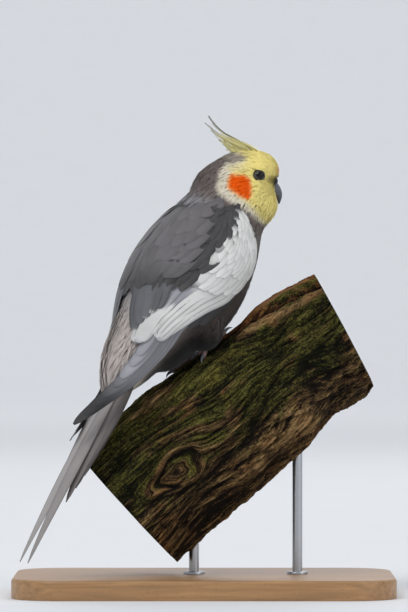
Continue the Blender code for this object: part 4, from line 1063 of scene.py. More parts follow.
def toe_lines(side):
    """The shank's line, and each toe's line and claw's line on the bark."""
    ball_at = out_of(BODY, [(BALL_AT[0], side * BALL_AT[1], 0.0)])[0]
    middle = on_bark(bark_top(ball_at[0], ball_at[1]), BALL_RADIUS + GAP)
    knee = out_of(BODY, [(THIGH_AT[0] + 2.0, side * THIGH_AT[1] * 0.9, THIGH_AT[2] - 2.0)])[0]
    toes = []
    for length, turn in TOES:
        turn = math.radians(turn * -side)
        heading = BODY[:3, :3] @ np.array((math.cos(turn), math.sin(turn), 0.0))
        line = []
        for share in np.linspace(0.0, 1.0, 19):
            radius = TOE_RADIUS * (1.0 - 0.25 * share)
            line.append(on_bark(middle + heading * length * share, radius + GAP))
        tip = line[-1]
        ahead = unit(tip - line[-2])
        up = unit(tip - on_bark(tip, 0.0))
        claw = [tip - ahead * 0.8 + up * 0.3, tip + ahead * CLAW_LENGTH * 0.5 + up * 0.8]
        claw.append(on_bark(tip + ahead * CLAW_LENGTH * 0.95, 0.5 + GAP))
        toes.append((np.array(line), np.array(claw)))
    return knee, middle, toes


def bend_through(points, count):
    """Points on a smooth curve through three."""
    first, second, third = points
    s = np.linspace(0.0, 1.0, count)[:, None]
    control = second * 2.0 - (first + third) / 2.0
    return first * (1.0 - s) ** 2 + control * 2.0 * s * (1.0 - s) + third * s * s


# Operators


class BIRD_OT_skin(bpy.types.Operator):
    """Makes the bird's skin and plants its body and head coat"""

    bl_idname = "bird.skin"
    bl_label = "Skin and coat"

    def execute(self, context):
        bird = context.scene.bird
        mesh, points = skin_mesh()
        body_space, face_space = bird.blade_spacing / MM, bird.face_spacing / MM

        def spacing(where):
            away = np.linalg.norm(into(HEAD, where) - (14.0, 0.0, 0.0), axis=-1)
            return face_space + (body_space - face_space) * ramp(away, 6.0, 40.0)

        roots = skin_places(mesh, points, spacing, 11)
        along_limb, around, radius, _ = limb_place(roots)
        over_bark = radius > limb_radius(along_limb, around) + 0.8
        roots = roots[over_bark & ~wing_covers(roots) & ~bare_face(roots)]
        roots = roots[into(TAIL, roots)[:, 0] > -21.0]
        tint_mesh(mesh, coat_tint(points) * 0.95)
        uv = coat_patches(points, False)
        corners = np.zeros(len(mesh.loops), int)
        mesh.loops.foreach_get("vertex_index", corners)
        mesh.uv_layers.new(name="Vane").data.foreach_set("uv", (uv[corners] * 200.0).astype(np.float32).ravel())
        skin = show(
            "skin", mesh, shared(contour_down, *BODY_DOWN),
            ("torso", "rump", "neck", "head", "leg_left", "leg_right"),
        )
        away = np.linalg.norm(into(HEAD, roots) - (4.0, 0.0, -2.0), axis=-1)
        face = away < 27.0
        near = np.linalg.norm(into(HEAD, roots) - (14.0, 0.0, 0.0), axis=-1)
        length_share = ramp(near, 4.0, 36.0)
        full_length, full_width = bird.blade_length / MM, bird.blade_width / MM
        length = 2.2 + (full_length - 2.2) * length_share
        width = 0.55 + (full_width - 0.55) * length_share
        along, angle, _ = spine_place(roots)
        length = length + 4.5 * ramp(-along, 30.0, 60.0) + 2.0 * ramp(angle, 110.0, 150.0) * ramp(-along, 0.0, 30.0)
        width = width * (1.0 - 0.25 * ramp(angle, 90.0, 130.0)) * (1.0 + 0.35 * ramp(-along, 22.0, 46.0))
        front = into(HEAD, roots)[:, 0] > 3.0
        parts = {
            "coat_face": (face & front, "face_plumage"),
            "coat_head": (face & ~front, "face_plumage"),
            "coat_neck": (~face & (along > 36.0), "grey_plumage"),
            "coat_back": (~face & (along <= 36.0) & (angle < 88.0), "grey_plumage"),
            "coat_belly": (~face & (along <= 36.0) & (angle >= 88.0), "grey_plumage"),
        }
        for k, (name, (mask, slot)) in enumerate(parts.items()):
            coat_piece(name, roots[mask], 100 + 10 * k, length[mask], width[mask], head=slot == "face_plumage")
            print(name, int(mask.sum()))
        print("skin", len(skin.data.polygons))
        return {"FINISHED"}


class BIRD_OT_wings(bpy.types.Operator):
    """Makes both folded wings: the arm, the flight feathers and the coverts"""

    bl_idname = "bird.wings"
    bl_label = "Wings"

    def execute(self, context):
        for side, name in ((-1, "right"), (1, "left")):
            arm = finished("wing_arm_" + name, wing_arm(side), sharp=60.0)
            points = mesh_points(arm)
            along, angle, _ = spine_place(points)
            edges = smooth_rows(np.array(WING_STATIONS)[::-1], along)
            across = (angle - edges[:, 0]) / (edges[:, 2] - edges[:, 0])
            tint = wing_tint("bend", along[:, None], across[:, None], np.random.default_rng(3))[:, 0]
            tint_mesh(arm, tint * 0.75)
            arm.uv_layers.new(name="Vane")
            show("wing_arm_" + name, arm, shared(contour_down, *BODY_DOWN), ())

            centres, normals, wide, tint, soft = wing_tiers(FLIGHT_TIERS, side, 18, 300)
            places, size = atlas(len(centres), 11)
            flight = vanes(
                "flight_feathers_" + name, centres, normals, wide, tint, places, columns=7, cup=0.05,
                thick=0.2, soft=(0.25, soft), ridge=0.3, patch=size, shade=-0.45,
            )
            show(
                "flight_feathers_" + name, flight, shared(vane_keratin, "flight_vane", 0.62, 0.05, 0.55),
                ("wing_" + name,),
            )
            centres, normals, wide, tint, soft = wing_tiers(COVERT_TIERS, side, 10, 400)
            places, size = atlas(len(centres), 16)
            coverts = vanes(
                "coverts_" + name, centres, normals, wide, tint, places, columns=5, cup=0.07,
                thick=0.15, soft=(0.6, soft), patch=size, shade=-0.22,
            )
            show("coverts_" + name, coverts, shared(vane_keratin, "covert_vane", 0.7, 0.06, 0.7), ())
        return {"FINISHED"}


class BIRD_OT_tail(bpy.types.Operator):
    """Makes the tail: six pairs of feathers, the middle pair longest and on top"""

    bl_idname = "bird.tail"
    bl_label = "Tail"

    def execute(self, context):
        bird = context.scene.bird
        rng = np.random.default_rng(21)
        rows = 26
        share, wide = sizes_along(TAPERED, rows)
        paths, normals, widths, tints = [], [], [], []
        for k, (end, width) in enumerate(TAIL_PAIRS):
            for side in (-1, 1):
                lean = math.radians(10.0 if k else 3.0)
                step = 0.6 * (k + 1) if k or side > 0 else 0
                x = TAIL_START + (end - TAIL_START) * share
                y = width / 2.0 + 0.3 + 0.45 * k + (0.2 + 0.55 * k) * share if k else 2.0 + 2.0 * share
                z = 1.2 - 0.8 * step - width / 2.0 * math.sin(lean)
                z = z + 0.8 * np.sin(math.pi * share) - 2.2 * share**3
                paths.append(out_of(TAIL, np.stack([x, side * y, z], axis=-1)))
                way = TAIL[:3, :3] @ np.array((0.0, side * math.sin(lean), math.cos(lean)))
                normals.append(np.broadcast_to(way, (rows, 3)))
                widths.append(width * wide)
                # the outer pairs and the near middle feather mixed towards the darker nape grey: painted shade,
                # strongest on the tail's near side
                painted_tail_shade = (0.35 if side > 0 else 0.85) if k else (0.0 if side > 0 else 0.3)
                colour = mixed(bird.pearl, bird.nape, painted_tail_shade) * rng.normal(1.0, 0.03)
                tints.append(mixed(np.broadcast_to(colour, (rows, 3)), bird.grey, 0.25 * ramp(share, 0.0, 0.3)))
        paths, normals, widths, tints = (np.array(p) for p in (paths, normals, widths, tints))
        places, size = atlas(len(paths), 6)
        mesh = vanes(
            "tail_feathers", paths, normals, widths, tints, places, columns=9, cup=0.05, thick=0.35,
            ridge=0.3, patch=size, shade=-0.4,
        )
        show("tail_feathers", mesh, shared(vane_keratin, "tail_vane", 0.62, 0.05, 0.55), ("tail",))
        return {"FINISHED"}


class BIRD_OT_crest(bpy.types.Operator):
    """Makes the crest's long thin feathers, swept up and back from the crown"""

    bl_idname = "bird.crest"
    bl_label = "Crest"

    def execute(self, context):
        bird = context.scene.bird
        rng = np.random.default_rng(31)
        count, rows = 60, 14
        share = np.linspace(0.0, 1.0, rows)
        guides = [smooth_rows(np.column_stack([np.linspace(0, 1, len(g)), g]), share) for g in CREST_GUIDES]
        order = np.concatenate([rng.uniform(0.0, 0.93, count - 5), (0.5, 0.56, 0.94, 0.98, 1.0)])
        stretch = np.concatenate([rng.uniform(0.35, 0.95, count - 5), np.ones(5)])
        low, middle, high = (np.array(g) for g in guides)
        lift = order[:, None, None]
        flat = np.where(lift < 0.5, low + (middle - low) * lift * 2.0, middle + (high - middle) * (lift * 2.0 - 1.0))
        reach = share[None, :, None] * stretch[:, None, None] * (rows - 1)
        step = np.clip(reach.astype(int), 0, rows - 2)
        part = reach - step
        flat = np.take_along_axis(flat, step, axis=1) * (1.0 - part) + np.take_along_axis(flat, step + 1, axis=1) * part
        fluff = 150
        start = rng.uniform(-4.0, 12.5, (fluff, 1))
        rise = np.radians(rng.uniform(16.0, 42.0, (fluff, 1)))
        run = rng.uniform(4.5, 9.0, (fluff, 1)) * share
        soft = np.stack([start - run * np.cos(rise), 16.2 - 0.02 * start**2 + run * np.sin(rise)], axis=-1)
        flat = np.concatenate([flat, soft])
        count += fluff
        order = np.concatenate([order, np.zeros(fluff)])
        stretch = np.concatenate([stretch, np.full(fluff, 0.3)])
        y = rng.uniform(-4.2, 4.2, count) * (1.0 - 0.6 * order)
        y = y[:, None] * (1.0 - 0.6 * share) + rng.normal(0.0, 0.5, (count, 1)) * share
        wave = rng.normal(0.0, 0.5, (count, 1)) * share**2 * (order < 0.93)[:, None]
        line = np.stack([flat[:, :, 0], y, flat[:, :, 1] - 1.2 * (1.0 - share) ** 3 + wave], axis=-1)
        paths = out_of(HEAD, line.reshape(-1, 3)).reshape(count, rows, 3)
        ahead = unit(np.gradient(paths, axis=1))
        normals = unit(np.cross(HEAD[:3, 1], ahead) + rng.normal(0.0, 0.35, (count, 1, 3)))
        wide = smooth_rows(((0.0, 1.3), (0.3, 1.5), (0.6, 1.1), (0.85, 0.7), (1.0, 0.25)), share)[:, 0]
        dark = ramp(share * stretch[:, None] + 0.4 * (order > 0.93)[:, None], 0.68, 1.05)
        # the pale strands brightened beyond their own colour: painted light against the shade between the strands
        pale = mixed(bird.yellow, bird.cream, rng.uniform(0.35, 0.85, (count, 1))) * (1.3, 1.38, 1.3)
        tints = mixed(pale, bird.crest, dark) * rng.normal(1.0, 0.06, (count, 1, 1))
        places, size = atlas(count, 13)
        mesh = vanes(
            "crest", paths, normals, wide[None] * rng.uniform(0.7, 1.1, (count, 1)), tints, places,
            columns=5, cup=0.12, thick=0.25, patch=size,
        )
        show("crest", mesh, shared(vane_keratin, "crest_vane", 0.6, 0.04, 0.6), ())
        return {"FINISHED"}


class BIRD_OT_eyes(bpy.types.Operator):
    """Makes the eyes and the bare lids round them"""

    bl_idname = "bird.eyes"
    bl_label = "Eyes"

    def execute(self, context):
        for side, name in ((-1, "right"), (1, "left")):
            centre, axis = head_axes(side)
            bm = bmesh.new()
            bmesh.ops.create_uvsphere(
                bm, u_segments=48, v_segments=32, radius=EYE_RADIUS, matrix=facing(centre, axis)
            )
            for vertex in bm.verts:
                away = np.array(vertex.co) - centre
                forward = away @ axis
                off = np.linalg.norm(away - forward * axis)
                if forward > 0.0:
                    vertex.co = Vector(np.array(vertex.co) + axis * 0.35 * max(0.0, 1.0 - (off / 2.3) ** 2))
            ball = finished("eyeball_" + name, bm)
            tint_mesh(ball, self.iris(mesh_points(ball), centre, axis))
            show("eyeball_" + name, ball, shared(wet_eye, "cornea_and_iris"), ("eye_" + name,))
            show("lids_" + name, lids(centre, axis), shared(bare_skin, "lid_skin", linear("4b4a47")), ())
        return {"FINISHED"}

    def iris(self, points, centre, axis):
        """A black pupil, a dark brown iris, and dark grey beyond."""
        away = points - centre
        forward = away @ axis
        off = np.linalg.norm(away - forward[:, None] * axis, axis=-1)
        tint = mixed(linear("040404"), linear("1d0f08"), ramp(off, 1.35, 1.6))
        return mixed(tint, linear("0a0808"), ramp(off, 2.3, 2.7))


class BIRD_OT_bill(bpy.types.Operator):
    """Makes the upper and lower bill and the fleshy cere"""

    bl_idname = "bird.bill"
    bl_label = "Bill"

    def execute(self, context):
        for name, table, node in (("bill_upper", UPPER_BILL, "upper_bill"), ("bill_lower", LOWER_BILL, "lower_bill")):
            steps = np.linspace(0.0, 1.0, len(table))
            rows = smooth_rows(np.column_stack([steps, np.array(table)]), np.linspace(0.0, 1.0, 26))
            centres = out_of(HEAD, np.stack([rows[:, 0], np.zeros(26), rows[:, 1]], axis=-1))
            ahead = unit(np.gradient(centres, axis=0))
            ups = np.cross(ahead, HEAD[:3, 1])
            bm = bmesh.new()
            rings_loft(bm, centres, ups, np.maximum(rows[:, 2:], 0.12), 32)
            mesh = finished(name, bm, sharp=50.0)
            show(name, mesh, shared(horn, "keratin_horn"), (node,))
        bm = bmesh.new()
        place = Matrix(HEAD) @ Matrix.Translation(CERE_AT) @ Matrix.Diagonal((*CERE_SIZE, 1.0))
        bmesh.ops.create_icosphere(bm, subdivisions=5, radius=1.0, matrix=place)
        for vertex in bm.verts:
            local = into(HEAD, [tuple(vertex.co)])[0] - CERE_AT
            pit = np.linalg.norm((local - (NOSTRIL_AT[0], math.copysign(NOSTRIL_AT[1], local[1]), NOSTRIL_AT[2])) / (1.0, 1.0, 0.8))
            push = -1.1 * math.exp(-((pit / 0.75) ** 2)) + 0.35 * math.exp(-(((pit - 1.5) / 0.6) ** 2))
            vertex.co = vertex.co + Vector(out_of(HEAD, [unit(local)])[0] - HEAD[:3, 3]) * push
        show("cere_flesh", finished("cere_flesh", bm), shared(bare_skin, "cere_skin", linear("1b1815")), ("cere",))
        return {"FINISHED"}


class BIRD_OT_feet(bpy.types.Operator):
    """Makes the scaly feet that grip the bark, and their claws"""

    bl_idname = "bird.feet"
    bl_label = "Feet"

    def execute(self, context):
        bird = context.scene.bird
        for side, name in ((-1, "right"), (1, "left")):
            knee, middle, toes = toe_lines(side)
            bm = bmesh.new()
            claws = bmesh.new()
            s = np.linspace(0.0, 1.0, 13)
            shank = knee + (middle - knee) * s[:, None]
            up = np.tile(BODY[:3, 0], (13, 1))
            rings_loft(bm, shank, up, np.column_stack([2.4 - 0.4 * s, 2.4 - 0.4 * s]), 18)
            place = Matrix.Translation(Vector(middle))
            bmesh.ops.create_icosphere(bm, subdivisions=3, radius=BALL_RADIUS, matrix=place)
            for line, claw in toes:
                count = 37
                fine = smooth_rows(
                    np.column_stack([np.linspace(0.0, 1.0, len(line)), line]), np.linspace(0.0, 1.0, count)
                )
                s = np.linspace(0.0, 1.0, count)
                pads = 1.0 - 0.25 * s + 0.05 * np.cos(s * 6.0 * math.pi) + 0.03 * np.cos(s * count * math.pi)
                pads[-1] *= 0.6
                _, _, _, outward = limb_place(fine)
                rings_loft(bm, fine, outward, np.column_stack([pads, pads]) * TOE_RADIUS, 14)
                curve = bend_through(claw, 12)
                _, _, _, outward = limb_place(curve)
                size = 1.05 * (1.0 - np.linspace(0.0, 1.0, 12) ** 1.4) + 0.08
                rings_loft(claws, curve, outward, np.column_stack([size * 0.85, size]), 12)
            skin = shared(bare_skin, "scaly_foot_skin", tuple(bird.foot))
            show("foot_skin_" + name, finished("foot_skin_" + name, bm), skin, ("foot_" + name,))
            show("claws_" + name, finished("claws_" + name, claws), shared(horn, "keratin_horn"), ())
        return {"FINISHED"}


class MOUNT_OT_perch(bpy.types.Operator):
    """Makes the cut length of limb with its bark, groove, knot and moss"""

    bl_idname = "mount.perch"
    bl_label = "Perch"

    def execute(self, context):
        mount = context.scene.mount
        rings, sides = mount.bark_rings, mount.bark_sides
        bm = bmesh.new()
        bmesh.ops.create_grid(bm, x_segments=rings, y_segments=sides, size=0.5)
        flat = np.array([v.co for v in bm.verts])
        along, around = flat[:, 0] + 0.5, flat[:, 1] * 2.0 * math.pi
        points, grain, *looks = bark_points(along, around)
        layers = [bm.verts.layers.float.new(name) for name in ("moss", "bare", "depth_and_shade")]
        grain_layer = bm.verts.layers.float_vector.new("grain")
        for vertex, point, line, values in zip(bm.verts, points, grain, zip(*looks)):
            vertex.co = point
            vertex[grain_layer] = line
            for layer, value in zip(layers, values):
                vertex[layer] = value
        bmesh.ops.remove_doubles(bm, verts=bm.verts, dist=1e-4)
        cut = bm.verts.layers.float.new("cut")
        rims = [e for e in bm.edges if e.is_boundary]
        for end in (0.0, 1.0):
            centre = Vector(limb_axis([end])[0][0])
            near = [e for e in rims if (e.verts[0].co - centre).length < LIMB_RADIUS * 1.6]
            for vertex in self.saw(bm, near, end):
                out = (vertex.co - centre).length
                vertex[cut] = 1.0
                vertex[grain_layer] = (out, 0.0, 0.0)
        mesh = finished("limb_bark", bm, sharp=55.0)
        show("limb_bark", mesh, shared(bark, "weathered_bark", mount), ("perch",))
        return {"FINISHED"}

    def saw(self, bm, edges, end):
        """Closes an end with a sawn face, drawn in ring by ring to the middle, and gives its points."""
        centre, ahead = limb_axis([end])
        face = []
        for shrink in (0.985, 0.97, 0.8, 0.6, 0.4, 0.2, 0.02):
            made = bmesh.ops.extrude_edge_only(bm, edges=edges)
            verts = [g for g in made["geom"] if isinstance(g, bmesh.types.BMVert)]
            for vertex in verts:
                away = np.array(vertex.co) - centre[0]
                away = away - ahead[0] * (away @ ahead[0])
                radius = limb_radius(np.array([end]), limb_place(np.array([tuple(vertex.co)]))[1])[0]
                vertex.co = Vector(centre[0] + unit(away) * radius * shrink)
            if shrink < 0.98:
                face += verts
            edges = [g for g in made["geom"] if isinstance(g, bmesh.types.BMEdge) and all(v in verts for v in g.verts)]
        bmesh.ops.edgeloop_fill(bm, edges=edges)
        return face


class MOUNT_OT_stand(bpy.types.Operator):
    """Makes the flat oiled board and its two steel rods"""

    bl_idname = "mount.stand"
    bl_label = "Stand"

    def execute(self, context):
        low, high = (np.array(corner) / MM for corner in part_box("stand_base"))
        size, middle = high - low, (high + low) / 2.0
        bm = bmesh.new()
        bmesh.ops.create_cube(bm, size=1.0)
        bmesh.ops.scale(bm, vec=size, verts=bm.verts)
        bmesh.ops.translate(bm, vec=middle, verts=bm.verts)
        upright = [e for e in bm.edges if abs(e.verts[0].co.z - e.verts[1].co.z) > 1.0]
        bmesh.ops.bevel(
            bm, geom=upright, offset=BASE_CORNER, segments=20, profile=0.5, affect="EDGES", material=-1
        )
        rims = [e for e in bm.edges if abs(e.verts[0].co.z - e.verts[1].co.z) < 0.01]
        top = [e for e in rims if e.verts[0].co.z > middle[2]]
        bmesh.ops.bevel(bm, geom=top, offset=2.0, segments=5, profile=0.5, affect="EDGES", material=-1)
        foot = [e for e in bm.edges if max(v.co.z for v in e.verts) < low[2] + 0.01]
        bmesh.ops.bevel(bm, geom=foot, offset=0.5, segments=2, profile=0.5, affect="EDGES", material=-1)
        mesh = finished("stand_board", bm, sharp=35.0)
        show("stand_board", mesh, shared(beech, "oiled_beech", context.scene.mount), ("stand_base",))
        for name in ("stand_rod_left", "stand_rod_right"):
            low, high = (np.array(corner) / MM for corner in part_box(name))
            middle, length = (low + high) / 2.0, high[2] - low[2]
            bm = bmesh.new()
            bmesh.ops.create_cone(
                bm, cap_ends=True, segments=40, radius1=ROD_RADIUS, radius2=ROD_RADIUS, depth=length,
                matrix=Matrix.Translation(Vector(middle)),
            )
            collar = Matrix.Translation((middle[0], middle[1], 12.9))
            ring = bmesh.ops.create_cone(
                bm, cap_ends=True, segments=48, radius1=ROD_RADIUS + 3.4, radius2=ROD_RADIUS + 3.4, depth=1.6,
                matrix=collar,
            )
            edges = {e for v in ring["verts"] for e in v.link_edges if min(x.co.z for x in e.verts) > 13.0}
            bmesh.ops.bevel(
                bm, geom=list(edges), offset=0.5, segments=3, profile=0.5, affect="EDGES", material=-1
            )
            mesh = finished(name + "_turned", bm, sharp=35.0)
            show(name + "_turned", mesh, shared(brushed_steel, "brushed_steel"), (name,))
        return {"FINISHED"}


class STUDIO_OT_stage(bpy.types.Operator):
    """Makes the pale floor, the soft lights and the camera"""

    bl_idname = "studio.stage"
    bl_label = "Stage"

    def execute(self, context):
        mount = context.scene.mount
        profile = [(0.0, 0.0), (6.0, 0.0)]
        for step in range(1, 13):
            turn = step / 12.0 * math.pi / 2.0
            profile.append((6.0 + 3.0 * math.sin(turn), 3.0 - 3.0 * math.cos(turn)))
        profile.append((9.0, 7.0))
        bm = bmesh.new()
        line = [bm.verts.new((x, 0.0, z)) for x, z in profile]
        edges = [bm.edges.new(pair) for pair in zip(line, line[1:])]
        bmesh.ops.spin(
            bm, geom=line + edges, cent=(0, 0, 0), axis=(0, 0, 1), angle=2.0 * math.pi, steps=72, use_merge=True
        )
        bmesh.ops.scale(bm, vec=(1 / MM, 1 / MM, 1 / MM), verts=bm.verts)
        mesh = finished("studio_floor", bm)
        way = sum(p.normal.z * p.area for p in mesh.polygons)
        if way < 0.0:
            mesh.flip_normals()
        mesh.materials.append(shared(paper, "matt_paper", mount))
        floor = bpy.data.objects.new("studio_floor", mesh)
        context.scene.collection.objects.link(floor)

        lamp("key", (-1.3, -1.7, 2.6), 1.4, mount.key_power, context)
        lamp("fill", (2.2, -1.6, 1.2), 1.6, mount.fill_power, context)
        lamp("rim", (0.4, 2.2, 2.0), 1.4, mount.fill_power, context)
        lamp("backdrop", (0.0, 4.0, 4.2), 3.0, mount.fill_power * 4.2, context, (0.0, 9.0, 1.6))
        world = bpy.data.worlds.new("even sky")
        world.use_nodes = True
        world.node_tree.nodes["Background"].inputs["Color"].default_value = (0.97, 0.98, 1.0, 1.0)
        world.node_tree.nodes["Background"].inputs["Strength"].default_value = mount.sky
        context.scene.world = world
        context.scene.view_settings.view_transform = "Standard"

        camera = bpy.data.objects.new("camera", bpy.data.cameras.new("camera"))
        context.scene.collection.objects.link(camera)
        camera.location = (0.0, -CAMERA_AWAY, CAMERA_HEIGHT)
        camera.rotation_euler = (math.pi / 2.0, 0.0, 0.0)
        camera.data.sensor_width = 36.0
        camera.data.lens = 36.0 * CAMERA_AWAY / PICTURE_HEIGHT
        context.scene.camera = camera
        return {"FINISHED"}


# The camera looks level along +Y, and its picture takes in this height at the bird
CAMERA_AWAY = 3.0
CAMERA_HEIGHT = 0.1728
PICTURE_HEIGHT = 0.3672


def lamp(name, at, size, power, context, aim=(0.0, 0.0, 0.17)):
    """A square soft light aimed at the bird, or elsewhere."""
    light = bpy.data.lights.new(name, "AREA")
    light.energy = power
    light.size = size
    made = bpy.data.objects.new(name, light)
    made.location = at
    made.rotation_euler = (Vector(aim) - Vector(at)).to_track_quat("-Z", "Y").to_euler()
    context.scene.collection.objects.link(made)


def lids(centre, axis):
    """The bare ring of both lids, a little almond shaped, with a soft fold round it."""
    profile = []
    for share in np.linspace(0.0, 1.0, 9):
        out = LID_INNER + (LID_OUTER - LID_INNER) * share
        rise = math.sqrt(max(0.0, (EYE_RADIUS + 0.1) ** 2 - min(out, 3.9) ** 2)) + 0.55 * math.sin(share * math.pi)
        profile.append((out, rise - 0.2 * share))
    profile += [(out, rise - 1.2) for out, rise in profile[::-1]]
    bm = bmesh.new()
    line = [bm.verts.new((x, 0.0, z)) for x, z in profile]
    edges = [bm.edges.new(pair) for pair in zip(line, line[1:] + line[:1])]
    bmesh.ops.spin(
        bm, geom=line + edges, cent=(0, 0, 0), axis=(0, 0, 1), angle=2.0 * math.pi, steps=64, use_merge=True
    )
    bmesh.ops.transform(bm, matrix=facing(centre, axis), verts=bm.verts)
    up = HEAD[:3, 2]
    for vertex in bm.verts:
        away = np.array(vertex.co) - centre
        vertex.co = Vector(np.array(vertex.co) - up * (away @ up) * 0.10)
    return finished("lids", bm)


def wet_eye(name):
    """An eye: a dark iris under a clear wet cornea that mirrors the lights."""
    material, tree, shader = finish(name, 0.06, IOR=1.376)
    tint = add(tree, "Attribute", attribute_name="tint")
    streaks = add(tree, "TexNoise", {"Vector": millimetres(tree), "Scale": 2.5, "Detail": 2.0})
    colour = add(tree, "VectorMath", {0: tint.outputs["Color"], "Scale": streaks.outputs[0]}, operation="SCALE")
    tree.links.new(colour.outputs[0], shader.inputs["Base Color"])
    return material


def bare_skin(name, colour):
    """Bare skin: finely wrinkled and scaly, leathery, with a dull shine."""
    material, tree, shader = finish(name, 0.55, Specular_IOR_Level=0.4)
    place = millimetres(tree)
    scales = add(tree, "TexVoronoi", {"Vector": place, "Scale": 1.5}, feature="DISTANCE_TO_EDGE")
    blotches = add(tree, "TexNoise", {"Vector": place, "Scale": 0.5, "Detail": 4.0})
    shades = add(tree, "ValToRGB", {0: blotches.outputs[0]})
    shades.color_ramp.elements[0].position = 0.3
    shades.color_ramp.elements[0].color = (*np.multiply(colour, 0.65), 1.0)
    shades.color_ramp.elements[1].position = 0.7
    shades.color_ramp.elements[1].color = (*np.multiply(colour, 1.15), 1.0)
    edges = add(tree, "MapRange", {0: scales.outputs[0], 1: 0.0, 2: 0.12, 3: 0.6, 4: 1.0})
    both = add(tree, "VectorMath", {0: shades.outputs[0], "Scale": edges.outputs[0]}, operation="SCALE")
    bump = add(tree, "Bump", {"Height": edges.outputs[0], "Strength": 0.5, "Distance": 0.1 * MM})
    tree.links.new(both.outputs[0], shader.inputs["Base Color"])
    tree.links.new(bump.outputs[0], shader.inputs["Normal"])
    return material


def horn(name):
    """Keratin horn: blue-grey and half matt, darker towards the tip, with faint flakes."""
    bird = bpy.context.scene.bird
    material, tree, shader = finish(name, 0.42, Specular_IOR_Level=0.5)
    place = millimetres(tree)
    grain = add(tree, "Mapping", {"Vector": place, "Scale": (1.4, 1.4, 0.35)})
    flakes = add(tree, "TexNoise", {"Vector": grain.outputs[0], "Scale": 1.0, "Detail": 5.0})
    tip = add(tree, "VectorMath", {0: place, 1: tuple(out_of(HEAD, [(20.7, 0.0, -15.0)])[0])}, operation="DISTANCE")
    dark = add(tree, "MapRange", {0: tip.outputs["Value"], 1: 2.0, 2: 9.0, 3: 0.35, 4: 1.0})
    tone = add(tree, "Math", {0: flakes.outputs[0], 1: 0.5, 2: 0.75}, operation="MULTIPLY_ADD")
    both = add(tree, "Math", {0: tone.outputs[0], 1: dark.outputs[0]}, operation="MULTIPLY")
    colour = add(tree, "VectorMath", {0: tuple(bird.horn), "Scale": both.outputs[0]}, operation="SCALE")
    bump = add(tree, "Bump", {"Height": flakes.outputs[0], "Strength": 0.25, "Distance": 0.1 * MM})
    tree.links.new(colour.outputs[0], shader.inputs["Base Color"])
    tree.links.new(bump.outputs[0], shader.inputs["Normal"])
    return material


def fibre_lines(x, y):
    """How far round the limb each place's fibre lies, and the place's distance from the knot.

    Fibres part round the knot, and ring it.
    """
    across = x - KNOT_AT[0]
    ahead = (y - KNOT_AT[1]) / 1.35
    turn = np.arctan2(across, ahead)
    reach = np.hypot(across, ahead) * (1.0 + 0.13 * np.sin(3.0 * turn + 1.0) + 0.07 * np.sin(5.0 * turn))
    parted = across * (1.0 - (KNOT_RADIUS / np.maximum(reach, KNOT_RADIUS)) ** 2)
    return KNOT_AT[0] + np.where(reach < KNOT_RADIUS, (KNOT_RADIUS - reach) * 0.7, parted), reach / KNOT_RADIUS


